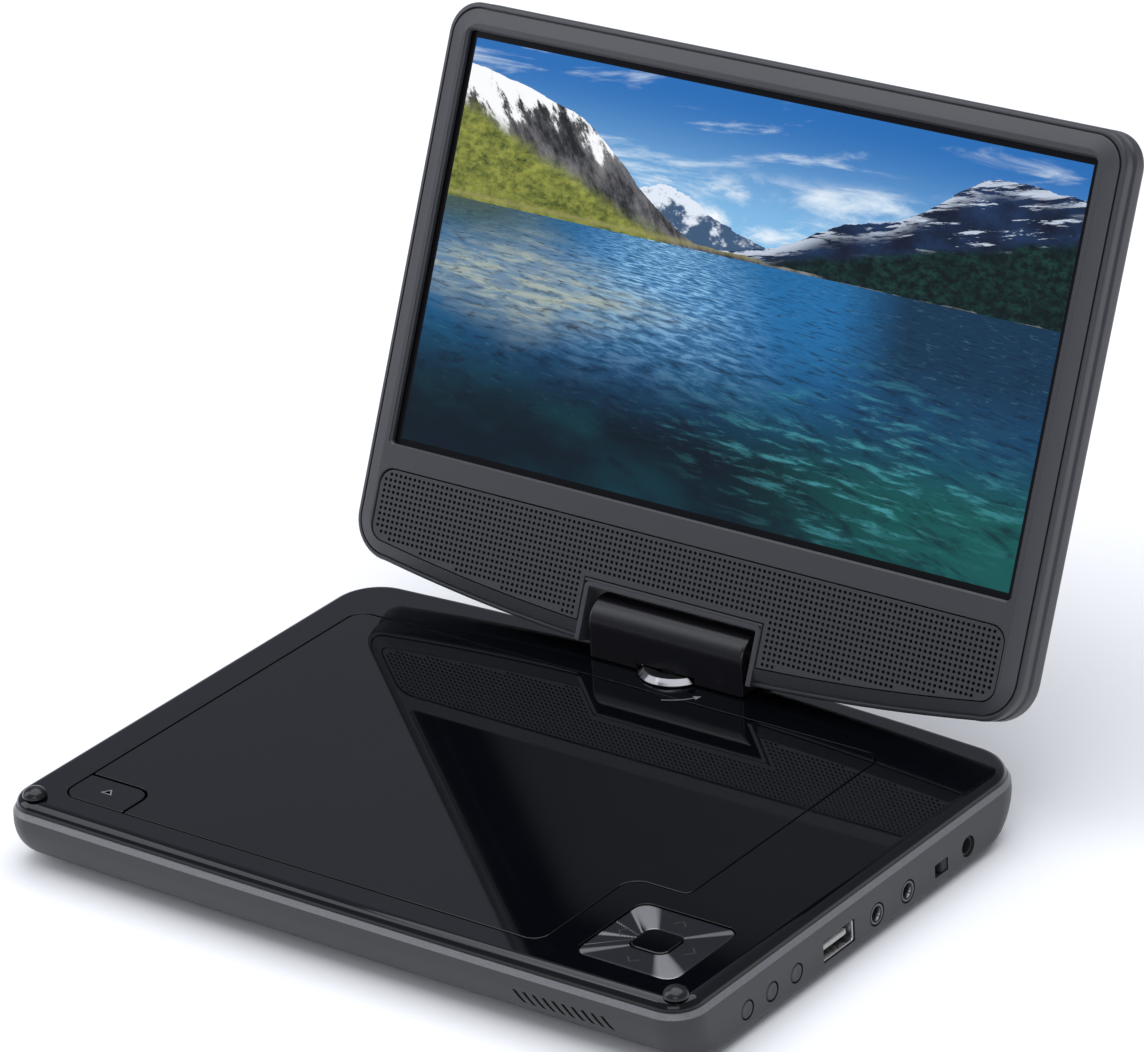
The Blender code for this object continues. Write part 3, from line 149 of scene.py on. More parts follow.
def arc(x, y, radius, start, end, steps):
    """Points of a circular arc between two angles in degrees."""
    turn = np.radians(np.linspace(start, end, steps + 1))
    return np.stack([x + radius * np.cos(turn), y + radius * np.sin(turn)], 1)


def circle(x, y, radius, count=32):
    """Even points round a circle, its first point not repeated."""
    return arc(x, y, radius, 0, 360 - 360 / count, count - 1)


def block(centre, width, depth, radius, steps=8):
    """Rounded rectangle about a centre."""
    x, y, w, d = centre[0], centre[1], width / 2, depth / 2
    return rounded([(x - w, y - d, radius), (x + w, y - d, radius), (x + w, y + d, radius),
                    (x - w, y + d, radius)], steps)


def body_outline(side, front, rear, radius):
    """Plan of the base, set in by its own amount on the sides, the front and the rear."""
    x0, x1, y0, y1 = LEFT_WALL + side, HALF - side, FRONT + front, REAR - rear
    centre, reach, big = (x0 + x1) / 2, (x1 - x0) / 2, radius + REAR_CORNER_MORE
    bow = lambda y, depth, way: [(centre + s * reach, y + depth * s * s, 0) for s in way * np.linspace(-0.7, 0.7, 15)]
    return rounded([(x1, y0 + FRONT_BOW, radius), (x1, y1 - REAR_BOW, big), *bow(y1, -REAR_BOW, -1),
                    (x0, y1 - REAR_BOW, big), (x0, y0 + FRONT_BOW, radius), *bow(y0, FRONT_BOW, 1)], 14)


def door_outline(shrink, whole=False):
    """Disc door with its step for the keypad; the open key takes the front left corner unless whole."""
    s, r = shrink, DOOR_CORNER
    right = [(DOOR_STEP_X - s, DOOR_FRONT + s, r - s), (DOOR_STEP_X - s, DOOR_STEP_Y + s, r + s),
             (DOOR_RIGHT - s, DOOR_STEP_Y + s, 2.5 - s), (DOOR_RIGHT - s, DOOR_REAR - s, r - s),
             (DOOR_LEFT + s, DOOR_REAR - s, r - s)]
    if whole:
        return rounded([(DOOR_LEFT + s, DOOR_FRONT + s, r - s)] + right, 8)
    x = DOOR_LEFT + KEY_WIDTH + s - SEAM / 2
    y = DOOR_FRONT + KEY_DEPTH + s
    return rounded([(DOOR_LEFT + s, y, 0.5), (x, y, r + s), (x, DOOR_FRONT + s, 0.5)] + right, 8)


def key_outline(shrink):
    """Open key: two opposite corners are round, the other two nearly sharp."""
    x0, x1 = DOOR_LEFT + shrink, DOOR_LEFT + KEY_WIDTH - shrink
    y0, y1 = DOOR_FRONT + shrink, DOOR_FRONT + KEY_DEPTH - shrink
    r = DOOR_CORNER - shrink
    return rounded([(x0, y0, r), (x1, y0, 0.6), (x1, y1, r), (x0, y1, 0.6)], 8)


def lid_floor(x):
    """Lower edge of the screen half: a shallow arc that climbs towards the sides."""
    return LID_LOW + LID_RISE * (x / (LID_HALF - LID_LOW_CORNER)) ** 2


def lid_outline(inset, steps=40):
    """Outline of the screen half: curved floor, tight top corners and wider low corners."""
    x, top, low = LID_HALF - inset, LID_TOP - inset, LID_LOW_CORNER - inset
    reach = x - low
    along = np.linspace(-reach, reach, steps + 1)
    floor = np.stack([along, lid_floor(along) + inset], 1)
    side = floor[-1, 1] + low
    r = LID_TOP_CORNER - inset * 0.6
    return np.concatenate([
        floor, arc(reach, side, low, -90, 0, 12)[1:], arc(x - r, top - r, r, 0, 90, 12),
        arc(-x + r, top - r, r, 90, 180, 12), arc(-reach, side, low, 180, 270, 12)[:-1]])


def grille_outline(shrink, steps=14):
    """Speaker grille: its lower edge follows the lid's, and it steps over the hinge notch."""
    x, r, top = GRILLE_HALF - shrink, GRILLE_CORNER, GRILLE_TOP - shrink
    notch = NOTCH_HALF + 1.7 + shrink
    along = np.linspace(notch, x - r, steps + 1)
    low = np.stack([along, lid_floor(along) + GRILLE_RISE + shrink], 1)
    side = low[-1, 1] + r
    step = NOTCH_TOP + 2.2 + shrink
    return np.concatenate([
        low, arc(x - r, side, r, -90, 0, 8)[1:], arc(x - r, top - r, r, 0, 90, 8),
        arc(-x + r, top - r, r, 90, 180, 8), arc(-x + r, side, r, 180, 270, 8)[:-1],
        low[::-1] * (-1, 1), [(-notch, step), (notch, step)]])


# ---- frames of reference ------------------------------------------------------------------------
def on_base(points):
    """From (x, y, z) about the hinge line to the player's own metres."""
    return (np.asarray(points, float) + SHIFT) * MM


def on_lid(points):
    """From (x, ahead, height) on the leaning screen half to the player's own metres."""
    p = np.asarray(points, float)
    c, s = math.cos(LEAN), math.sin(LEAN)
    y = p[..., 2] * s - p[..., 1] * c
    z = p[..., 2] * c + p[..., 1] * s
    return (np.stack([p[..., 0], y, z], -1) + HINGE) * MM


def flat(outline, level):
    """A plan outline at one level of the base."""
    return np.column_stack([outline, np.full(len(outline), level)])


def upright(outline, ahead):
    """An outline of the screen half at one distance ahead of the axis."""
    return np.column_stack([outline[:, 0], np.full(len(outline), ahead), outline[:, 1]])


def sideways(outline, x):
    """An outline in the y-z plane at one x of the base."""
    return np.column_stack([np.full(len(outline), x), outline])


# ---- meshes -------------------------------------------------------------------------------------
def loose(name, points, faces):
    """An object from arrays, with its faces turned outwards."""
    mesh = bpy.data.meshes.new(name)
    mesh.from_pydata(points, [], faces)
    bm = bmesh.new()
    bm.from_mesh(mesh)
    bmesh.ops.remove_doubles(bm, verts=bm.verts, dist=1e-7)
    bmesh.ops.dissolve_degenerate(bm, edges=bm.edges, dist=1e-8)
    bmesh.ops.recalc_face_normals(bm, faces=bm.faces)
    bm.to_mesh(mesh)
    bm.free()
    made = bpy.data.objects.new(name, mesh)
    bpy.context.scene.collection.objects.link(made)
    return made


def quads(rows, count, ring=False):
    """Index quads of a grid that closes along its rows, and along its columns too for a ring."""
    i = np.arange(rows if ring else rows - 1)[:, None]
    j = np.arange(count)[None]
    k, m = (j + 1) % count, (i + 1) % rows
    return np.stack([i * count + j, i * count + k, m * count + k, m * count + j], -1).reshape(-1, 4).tolist()


def skin(rings, place=on_base, ring=False):
    """Closed surface through equal rings; its ends are capped unless the rings themselves close."""
    grid = np.stack(rings)
    rows, count = grid.shape[:2]
    faces = quads(rows, count, ring)
    if not ring:
        faces += [list(range(count)), list(range((rows - 1) * count, rows * count))]
    return loose("skin", place(grid.reshape(-1, 3)), faces)


def bar(outline, start, end, lay=flat, place=on_base):
    """Prism: one outline carried straight from a first level to a second."""
    return skin([lay(outline, start), lay(outline, end)], place)


def slab(outline, low, high, edge, place=on_base, lay=flat, rows=4):
    """Plate between two levels whose upper edge is a quarter round of the given radius, if there is one."""
    turn = np.linspace(0, math.pi / 2, rows + 1) if edge else [math.pi / 2]
    rings = [lay(outline(0.0), low)]
    rings += [lay(outline(edge * (1 - math.cos(a))), high - edge * (1 - math.sin(a))) for a in turn]
    return skin(rings, place)


def turned(profile, centre, axis="z", count=40, place=on_base):
    """Turned shape: (radius, along) pairs from pole to pole, spun about a line through the centre."""
    p = np.array(profile, float)
    turn = np.linspace(0, 2 * math.pi, count, endpoint=False)
    across, up, along = p[:, :1] * np.cos(turn), p[:, :1] * np.sin(turn), np.repeat(p[:, 1:], count, 1)
    order = {"z": (across, up, along), "x": (along, across, up), "y": (across, along, up)}[axis]
    grid = np.stack(order, -1) + np.asarray(centre, float)
    return skin(list(grid), place)


def baked(item):
    """Gives the object the mesh that its modifiers make."""
    graph = bpy.context.evaluated_depsgraph_get()
    mesh = bpy.data.meshes.new_from_object(item.evaluated_get(graph))
    item.modifiers.clear()
    item.data = mesh
    return item


def merged(items):
    """One object from several, for a single cut."""
    bm = bmesh.new()
    for item in items:
        bm.from_mesh(item.data)
        bpy.data.objects.remove(item)
    mesh = bpy.data.meshes.new("tools")
    bm.to_mesh(mesh)
    bm.free()
    made = bpy.data.objects.new("tools", mesh)
    bpy.context.scene.collection.objects.link(made)
    return made


def combine(item, other, operation, solver="EXACT"):
    """Joins, cuts or intersects one closed surface with another."""
    step = item.modifiers.new("combine", "BOOLEAN")
    step.operation, step.solver, step.object = operation, solver, other
    baked(item)
    bpy.data.objects.remove(other)
    return item


def cut(item, *tools):
    """Takes several surfaces out of one in a single cut."""
    return combine(item, merged(tools), "DIFFERENCE")


def read(items, name):
    """A vector attribute of every vertex or face, as rows of an array."""
    found = np.empty(len(items) * 3)
    items.foreach_get(name, found)
    return found.reshape(-1, 3)


def unwrap(mesh, name, spread):
    """UV map in which each corner's place is a function of its point in millimetres."""
    corner = np.empty(len(mesh.loops), np.int32)
    mesh.loops.foreach_get("vertex_index", corner)
    points = read(mesh.vertices, "co") / MM
    mesh.uv_layers.new(name=name).data.foreach_set("uv", spread(points[corner]).ravel())


def use_second(mesh, chosen):
    """Gives the chosen faces the second finish of the mesh."""
    mesh.polygons.foreach_set("material_index", chosen.astype(np.int32))


def piece(name, item, finish, body, nodes=(), edge=0.0, angle=32.0):
    """Names a finished piece, softens its edges, hangs it on its body and says what it stands for."""
    item.name = name
    item.data.name = name
    if edge:
        soft = item.modifiers.new("edges", "BEVEL")
        soft.width, soft.segments, soft.limit_method = edge * MM, 2, "ANGLE"
        soft.angle_limit = math.radians(40)
        baked(item)
    item.data.materials.clear()
    use_second(item.data, np.zeros(len(item.data.polygons)))
    for made in (finish if isinstance(finish, (list, tuple)) else [finish]):
        item.data.materials.append(made)
    item.data.shade_smooth()
    item.data.set_sharp_from_angle(angle=math.radians(angle))
    weigh = item.modifiers.new("normals", "WEIGHTED_NORMAL")
    weigh.keep_sharp = True
    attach(item, body)
    if nodes:
        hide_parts(*nodes)
    return item


def dress(finish, *nodes):
    """Gives carried-over pieces their finish."""
    for name in nodes:
        mesh = frame["nodes"][name].data
        mesh.materials.clear()
        mesh.materials.append(finish)


# ---- shader maths -------------------------------------------------------------------------------
class Wire:
    """A socket that can be used in sums; each operator adds its own Math node."""

    def __init__(self, finish, socket):
        self.finish, self.socket = finish, socket

    def math(self, operation, *others):
        made = self.finish.node("ShaderNodeMath", {"operation": operation}, *others)
        return Wire(self.finish, made.outputs[0])

    def least(self, other): return self.math("MINIMUM", self, other)
    def most(self, other): return self.math("MAXIMUM", self, other)
    def size(self): return self.math("ABSOLUTE", self)
    def wave(self): return self.math("SINE", self)

    def step(self, low, high):
        """0 below low and 1 above high, with a smooth rise between them."""
        made = self.finish.node("ShaderNodeMapRange", {"interpolation_type": "SMOOTHSTEP"}, self, low, high, 0.0, 1.0)
        return Wire(self.finish, made.outputs[0])


def overload(word, operation):
    """Gives Wire one Python operator and its reflected form."""
    setattr(Wire, "__%s__" % word, lambda self, other: self.math(operation, self, other))
    setattr(Wire, "__r%s__" % word, lambda self, other: self.math(operation, other, self))


for word, operation in (("add", "ADD"), ("sub", "SUBTRACT"), ("mul", "MULTIPLY"), ("truediv", "DIVIDE")):
    overload(word, operation)
Wire.__gt__ = lambda self, other: self.math("GREATER_THAN", self, other)
Wire.__lt__ = lambda self, other: self.math("LESS_THAN", self, other)


class Finish:
    """A material: a Principled shader with plain settings, and helpers that add nodes to it."""

    def __init__(self, name, colour, roughness, **settings):
        self.material = bpy.data.materials.new(name)
        self.material.use_nodes = True
        self.tree = self.material.node_tree
        self.shader = self.tree.nodes["Principled BSDF"]
        self.set(Base_Color=colour, Roughness=roughness, **settings)

    def set(self, **settings):
        """Feeds sockets of the shader, named with underscores for spaces."""
        for name, value in settings.items():
            self.feed(self.shader.inputs[name.replace("_", " ")], value)

    def feed(self, socket, value):
        """Links a wire to a socket, or sets the socket's own value."""
        if isinstance(value, Wire):
            self.tree.links.new(value.socket, socket)
        elif isinstance(value, (tuple, list)) and len(value) == 3 and len(socket.default_value) == 4:
            socket.default_value = (*value, 1.0)
        else:
            socket.default_value = value

    def node(self, kind, settings, *values):
        """Any node: its settings first, then the values or wires of its enabled sockets in order."""
        made = self.tree.nodes.new(kind)
        for name, value in settings.items():
            setattr(made, name, value)
        for socket, value in zip([s for s in made.inputs if s.enabled], values):
            self.feed(socket, value)
        return made

    def coords(self, scale=(1.0, 1.0, 1.0), kind="Object"):
        """Coordinates in millimetres along the player, or the piece's own UV."""
        place = self.node("ShaderNodeTexCoord", {}).outputs[kind]
        unit = 1 / MM if kind == "Object" else 1.0
        made = self.node("ShaderNodeVectorMath", {"operation": "MULTIPLY"}, Wire(self, place),
                         tuple(unit * s for s in scale))
        return Wire(self, made.outputs[0])

    def parts(self, place):
        """The three numbers of a vector."""
        made = self.node("ShaderNodeSeparateXYZ", {}, place)
        return [Wire(self, made.outputs[k]) for k in range(3)]

    def joined(self, x, y, z=0.0):
        """A vector of three numbers."""
        return Wire(self, self.node("ShaderNodeCombineXYZ", {}, x, y, z).outputs[0])

    def noise(self, place, scale=1.0, detail=2.0, roughness=0.5, warp=0.0):
        """Fractal noise between about 0.25 and 0.75."""
        made = self.node("ShaderNodeTexNoise", {})
        for name, value in (("Vector", place), ("Scale", scale), ("Detail", detail), ("Roughness", roughness),
                            ("Distortion", warp)):
            self.feed(made.inputs[name], value)
        return Wire(self, made.outputs[0])

    def mix(self, share, first, second):
        """The first colour, turning into the second as the share goes from 0 to 1."""
        made = self.tree.nodes.new("ShaderNodeMix")
        made.data_type = "RGBA"
        for socket, value in ((made.inputs[0], share), (made.inputs[6], first), (made.inputs[7], second)):
            self.feed(socket, value)
        return Wire(self, made.outputs[2])

    def curve(self, value, stops):
        """A smooth function of one value through (place, height) stops."""
        made = self.tree.nodes.new("ShaderNodeValToRGB")
        ramp = made.color_ramp
        ramp.interpolation = "B_SPLINE"
        for k, (place, height) in enumerate(stops):
            stop = ramp.elements[k] if k < 2 else ramp.elements.new(place)
            stop.position, stop.color = place, (height, height, height, 1.0)
        self.feed(made.inputs[0], value)
        return Wire(self, made.outputs[0])

    def bump(self, height, depth):
        """Surface relief of so many millimetres."""
        made = self.tree.nodes.new("ShaderNodeBump")
        made.inputs["Distance"].default_value = depth * MM
        self.feed(made.inputs["Height"], height)
        self.set(Normal=Wire(self, made.outputs[0]))


def moulded(name, colour, roughness, grain=0.18, depth=0.006, **settings):
    """Satin moulded plastic: fine spark texture, slightly uneven sheen and tone."""
    f = Finish(name, colour, roughness, **settings)
    place = f.coords()
    fine = f.noise(place, 1 / grain, 2.0, 0.6)
    broad = f.noise(place, 0.035, 3.0)
    f.set(Roughness=roughness + (fine - 0.5) * 0.10 + (broad - 0.5) * 0.06,
          Base_Color=f.mix(fine.step(0.35, 0.7), tuple(0.86 * c for c in colour), tuple(1.16 * c for c in colour)))
    f.bump(fine, depth)
    return f.material


def lacquered(name, colour, roughness=0.025):
    """Piano gloss: deep colour under a clear, very slightly uneven polish with faint haze."""
    f = Finish(name, colour, roughness, Coat_Roughness=0.02, Specular_IOR_Level=0.32)
    place = f.coords()
    haze = f.noise(place, 0.02, 4.0, 0.55)
    swirl = f.noise(place, 0.25, 2.0)
    f.set(Roughness=roughness + haze.step(0.35, 0.8) * 0.03 + (swirl - 0.5) * 0.008,
          Coat_Weight=0.05 + haze * 0.06,
          Base_Color=f.mix(haze, tuple(0.8 * c for c in colour), tuple(1.2 * c for c in colour)))
    return f.material


def metal(name, colour, roughness, streak=0.0, along=(1.0, 1.0, 1.0)):
    """Bare metal with fine directional streaks and a little tarnish."""
    f = Finish(name, colour, roughness, Metallic=1.0)
    lines = f.noise(f.coords(along), 3.0, 3.0, 0.6)
    tone = f.noise(f.coords(), 0.3, 3.0)
    f.set(Roughness=roughness + (lines - 0.5) * (0.06 + streak) + (tone - 0.5) * 0.04,
          Base_Color=f.mix(tone, tuple(0.88 * c for c in colour), colour))
    f.bump(lines, 0.002 + streak * 0.01)
    return f.material


def rubbery(name):
    """Dull rubber with fine pores and a little dust."""
    f = Finish(name, (0.012, 0.012, 0.013), 0.5, Specular_IOR_Level=0.35)
    place = f.coords()
    fine, dust = f.noise(place, 6.0, 3.0), f.noise(place, 0.6, 4.0)
    f.set(Roughness=0.45 + fine * 0.2,
          Base_Color=f.mix(dust.step(0.45, 0.8), (0.011, 0.011, 0.012), (0.022, 0.022, 0.023)))
    f.bump(fine, 0.01)
    return f.material


def board_finish():
    """Green solder mask with copper tracks and pads."""
    f = Finish("solder_mask", (0.01, 0.09, 0.035), 0.35)
    place = f.coords()
    x, y, _ = f.parts(place)
    maze = f.noise(place, 0.35, 0.0)
    lines = ((x * 2.4).wave() > 0.86).most((y * 2.4).wave() > 0.9) * (maze > 0.5)
    tone = f.noise(place, 0.8, 2.0)
    base = f.mix(tone, (0.006, 0.07, 0.025), (0.012, 0.12, 0.045))
    f.set(Base_Color=f.mix(lines, base, (0.05, 0.2, 0.06)), Roughness=0.3 + lines * 0.15)
    f.bump(lines, 0.03)
    return f.material


def wrap_finish():
    """Shrink-wrapped cells: faint round swell of each cell and fine creases."""
    f = Finish("battery_wrap", (0.02, 0.04, 0.14), 0.35)
    place = f.coords()
    x, y, _ = f.parts(place)
    crease = f.noise(place, 0.5, 4.0, 0.6)
    cells = (y * 0.33).wave().size()
    f.set(Base_Color=f.mix(crease, (0.015, 0.03, 0.11), (0.03, 0.055, 0.18)), Roughness=0.3 + crease * 0.2)
    f.bump(cells * 0.8 + crease * 0.2, 0.3)
    return f.material


def spun_pad_painted_highlight_finish():
    """Spun dark pad: fine rings, two wide bright wedges and two thin ones along the diagonals."""
    f = Finish("spun_pad_painted_highlight", (0.02, 0.021, 0.026), 0.3, Metallic=0.6)
    place = f.coords(kind="UV")
    u, v, _ = f.parts(place)
    turn = u * (2 * math.pi)
    # Diagonal directions along which the painted highlight is laid.
    across, along = turn.wave(), (turn + math.pi / 2).wave()
    main = (across - along).size() * math.sqrt(0.5)
    other = (across + along).size() * math.sqrt(0.5)
    highlight_streaks = f.noise(f.joined(across, along), 26.0, 3.0, 0.7)
    # Painted highlight: bright wedges along the diagonals stand in for the light caught by the spun finish.
    painted_highlight = main.step(0.955, 0.997) * (0.75 + highlight_streaks * 0.5) + other.step(0.9965, 0.9998) * 0.65
    rings = f.noise(f.joined(v * 90.0, across * 0.2), 3.0, 2.0)
    # The lighter colour of this mix is the painted highlight.
    f.set(Base_Color=f.mix(painted_highlight.least(1.0), (0.016, 0.017, 0.022), (0.30, 0.30, 0.31)),
          Roughness=0.28 + rings * 0.1)
    f.bump(rings, 0.01)
    return f.material


def picture_finish():
    """Lit picture: a lake under snowy mountains, made from ridges, slopes and ripples of noise."""
    f = Finish("screen_picture", (0.004, 0.004, 0.005), 0.12, Emission_Strength=1.0, Specular_IOR_Level=0.2)
    place = f.coords(kind="UV")
    u, v, _ = f.parts(place)
    shore = 0.61
    up = v - shore
    crag = f.noise(f.joined(u * 7.0, v * 5.0), 1.6, 6.0, 0.62)
    rough = f.noise(f.joined(u * 16.0, v * 12.0), 1.5, 8.0, 0.7)
    # sky
    drift = f.noise(f.joined(u * 2.2 + v * 0.8, v * 8.0 - u * 1.6), 1.5, 7.0, 0.62, 0.6)
    puff = f.noise(f.joined(u * 6.0, v * 9.0), 1.0, 6.0, 0.6, 0.3)
    depth = up.step(0.0, 0.38)
    sky = f.mix(depth, (0.26, 0.55, 0.84), (0.02, 0.15, 0.46))
    sky = f.mix((drift.step(0.50, 0.72) * (1.0 - depth * 0.3)).least(0.8), sky, (0.80, 0.90, 0.98))
    near_ridge = (up - 0.10 - 0.12 * (u - 0.42).size()).size()
    sky = f.mix(puff.step(0.5, 0.68) * (1.0 - near_ridge.step(0.03, 0.12)), sky, (0.92, 0.96, 1.0))
    # far peaks
    far = f.curve(u, [(0.0, 0.0), (1.0, 0.0), (0.30, 0.12), (0.36, 0.15), (0.42, 0.09), (0.48, 0.05), (0.55, 0.03)])
    far_mask = up < far + (crag - 0.5) * 0.07
    far_snow = f.mix((rough + up * 2.2).step(0.62, 0.74), (0.05, 0.10, 0.19), (0.75, 0.82, 0.92))
    land = f.mix(far_mask, sky, far_snow)
    # right range
    right = f.curve(u, [(0.0, 0.0), (1.0, 0.30), (0.50, 0.005), (0.58, 0.08), (0.64, 0.14), (0.72, 0.15),
                        (0.80, 0.26), (0.88, 0.33)])
    right_mask = up < right + (crag - 0.5) * 0.05
    seams = f.noise(f.joined(u * 9.0 + v * 6.0, (v - u * 0.38) * 46.0), 1.0, 6.0, 0.7, 0.2)
    lines = seams.step(0.56, 0.61) * (up - 0.06).step(0.0, 0.1)
    cap = (up - right + 0.05).step(0.0, 0.05) * seams.step(0.47, 0.52)
    rock = f.mix(crag.step(0.35, 0.65), (0.004, 0.008, 0.022), (0.012, 0.035, 0.10))
    slope = f.mix(lines.most(cap) * 0.85, rock, (0.62, 0.70, 0.84))
    leaves = f.noise(f.joined(u * 70.0, v * 60.0), 1.0, 3.0, 0.7)
    woods = f.mix(leaves.step(0.35, 0.7) * rough.step(0.3, 0.6), (0.001, 0.006, 0.008), (0.008, 0.045, 0.035))
    slope = f.mix(((u - 0.5) * 0.42 - up + (crag - 0.5) * 0.08).step(-0.01, 0.02), slope, woods)
    land = f.mix(right_mask, land, slope)
    # left mountain
    left = f.curve(u, [(0.0, 0.33), (1.0, 0.0), (0.10, 0.30), (0.20, 0.255), (0.26, 0.19), (0.33, 0.09),
                       (0.42, 0.0)])
    left_mask = up < left + (crag - 0.5) * 0.03
    gullies = f.noise(f.joined(u * 30.0 + v * 12.0, v * 8.0), 1.0, 7.0, 0.72)
    rock = f.mix(gullies.step(0.36, 0.64), (0.014, 0.015, 0.018), (0.20, 0.20, 0.21))
    snow = (up * 2.9 + gullies * 1.5 - 1.12 + (crag - 0.5) * 0.4).step(0.26, 0.38)
    slope = f.mix(snow, rock, (0.95, 0.96, 0.98))
    meadow = f.mix(leaves.step(0.3, 0.7) * 0.5 + rough.step(0.3, 0.7) * 0.5, (0.02, 0.045, 0.008), (0.34, 0.36, 0.07))
    slope = f.mix((0.24 - up - u * 0.62 + (crag - 0.5) * 0.08).step(-0.02, 0.03), slope, meadow)
    slope = f.mix((up - 0.012).size().step(0.012, 0.0) * 0.5, slope, (0.35, 0.33, 0.12))
    land = f.mix(left_mask, land, slope)
    # lake
    down = (shore - v).most(0.002)
    ripple = f.noise(f.joined(u * 6.0 / (down + 0.14), 5.0 / (down + 0.10)), 1.7, 6.0, 0.65, 0.4)
    fine = f.noise(f.joined((u + v * 0.5) * 34.0, v * 90.0), 1.2, 6.0, 0.7, 0.5)
    swell = f.noise(f.joined(u * 3.0, v * 4.0), 1.3, 3.0)
    deep = f.mix(swell.step(0.4, 0.7), (0.001, 0.008, 0.016), (0.002, 0.035, 0.05))
    deep = f.mix((u - 0.5 - down * 0.2).step(-0.1, 0.3) * (down - 0.2).step(0.0, 0.3), deep, (0.006, 0.09, 0.085))
    chop = f.noise(f.joined(u * 12.0, (v + u * 0.06) * 46.0), 1.0, 6.0, 0.66, 0.3)
    green = (0.3 - u).step(0.0, 0.25) * down.step(0.16, 0.0)
    shade = (u - 0.64).step(0.0, 0.14) * down.step(0.46, 0.12)
    gleam = ((u - 0.38).size() - down * 0.30).step(0.17, 0.0) * down.step(0.40, 0.02)
    glint = ((u - 0.15).size() * 4.4 + (down - 0.17).size() * 9.0).step(1.7, 0.3)
    spark = ((u - 0.74).size() * 3.2 + (down - 0.42).size() * 4.0).step(1.5, 0.2)
    water = deep
    for share, colour in (
            (down.step(0.48, 0.08), (0.015, 0.15, 0.38)),
            (green * 0.8, (0.07, 0.09, 0.02)),
            (shade * 0.85, (0.004, 0.016, 0.03)),
            ((gleam * (0.15 + ripple.step(0.47, 0.63) * 0.75)).least(1.0), (0.36, 0.66, 0.92)),
            ((glint * (0.35 + chop.step(0.42, 0.62) * 0.65)).least(0.9), (0.40, 0.46, 0.40)),
            (spark * chop.step(0.50, 0.66) * 0.6, (0.08, 0.40, 0.46)),
            (fine.step(0.55, 0.75) * 0.25 * down.step(0.6, 0.1), (0.22, 0.46, 0.62)),
            (ripple.step(0.52, 0.3) * 0.7, (0.002, 0.008, 0.02))):
        water = f.mix(share, water, colour)
    shown = f.mix(v < shore, land, water)
    inside = (u > 0.0) * (u < 1.0) * (v > 0.0) * (v < 1.0)
    f.set(Emission_Color=f.mix(inside, (0.0, 0.0, 0.0), shown))
    return f.material


# ---- settings a user would change ---------------------------------------------------------------
class PlayerSizes(bpy.types.PropertyGroup):
    """Sizes that can be changed before the pieces are made."""
    hole_pitch: bpy.props.FloatProperty(
        name="Hole pitch", description="Distance between neighbouring grille holes", default=1.6 * MM,
        unit="LENGTH", precision=4)
    hole_radius: bpy.props.FloatProperty(
        name="Hole radius", description="Radius of each grille hole", default=0.5 * MM, unit="LENGTH", precision=4)
    edge: bpy.props.FloatProperty(
        name="Edge softness", description="Radius left on the edges of the gloss pieces", default=0.25 * MM,
        unit="LENGTH", precision=4)
    vents: bpy.props.IntProperty(name="Front vents", description="Slots in the front wall", default=10, min=0)


class PlayerColours(bpy.types.PropertyGroup):
    """Base colours of the four main plastics."""
    gloss: bpy.props.FloatVectorProperty(
        name="Gloss", description="Deck, door and hinge cover", default=(0.0018, 0.0022, 0.0034), subtype="COLOR")
    screen_half: bpy.props.FloatVectorProperty(
        name="Screen half", description="Satin shells of the screen half", default=(0.034, 0.035, 0.040),
        subtype="COLOR")
    base: bpy.props.FloatVectorProperty(
        name="Base", description="Satin lower shell", default=(0.022, 0.022, 0.024), subtype="COLOR")
    # Strip colour: partly the strip's own lighter paint, partly a painted highlight.
    strip: bpy.props.FloatVectorProperty(
        name="Strip", description="Lighter strip round the lower shell", default=(0.15, 0.15, 0.156),
        subtype="COLOR")


finishes = {}


def make_finishes():
    """Every plastic, metal and printed finish, by its short name."""
    colours = bpy.context.scene.player_colours
    finishes.update(
        gloss=lacquered("piano_gloss", tuple(colours.gloss)),
        lid=moulded("satin_charcoal", tuple(colours.screen_half), 0.40),
        base=moulded("satin_black", tuple(colours.base), 0.42),
        # Lighter strip: partly its own lighter paint, partly a painted highlight for the light its upward chamfer
        # catches.
        strip=moulded("satin_strip_painted_sheen", tuple(colours.strip), 0.34, grain=0.3),
        hidden=moulded("inner_black", (0.012, 0.012, 0.013), 0.55),
        drive=moulded("drive_grey", (0.03, 0.03, 0.033), 0.45),
        chrome=metal("bright_chrome", (0.22, 0.22, 0.23), 0.14),
        barrel=moulded("hinge_satin", (0.006, 0.006, 0.008), 0.26, depth=0.001, Specular_IOR_Level=0.36),
        grille=moulded("grille_charcoal", tuple(0.85 * c for c in colours.screen_half), 0.42),
        tongue=moulded("tongue_white", (0.5, 0.5, 0.48), 0.4, depth=0.001),
        steel=metal("plain_steel", (0.52, 0.52, 0.53), 0.28, 0.1, (0.2, 4.0, 4.0)),
        brass=metal("contact_gold", (0.85, 0.62, 0.25), 0.22),
        rubber=rubbery("soft_rubber"),
        dome=lacquered("glossy_rubber", (0.012, 0.012, 0.013), 0.2),
        dark_metal=metal("dark_nickel", (0.16, 0.16, 0.165), 0.25),
        board=board_finish(),
        wrap=wrap_finish(),
        pad=spun_pad_painted_highlight_finish(),
        picture=picture_finish(),
        dim_ink=moulded("printed_ink_dim", (0.16, 0.16, 0.17), 0.5, depth=0.001),
        lens=lacquered("coated_lens", (0.05, 0.07, 0.20), 0.02),
    )


# ---- the base -----------------------------------------------------------------------------------
def rolled(rise, radius):
    """How far a wall has rolled under at a height above the underside: a quarter circle."""
    gap = np.maximum(radius - rise, 0.0)
    return radius - math.sqrt(max(radius * radius - gap * gap, 0.0))


def even(inset, level, more=0.0):
    """Plan of the base at one level, set in by the same amount all round."""
    around = inset + more
    return flat(body_outline(around, around, around, CORNER - inset), level)


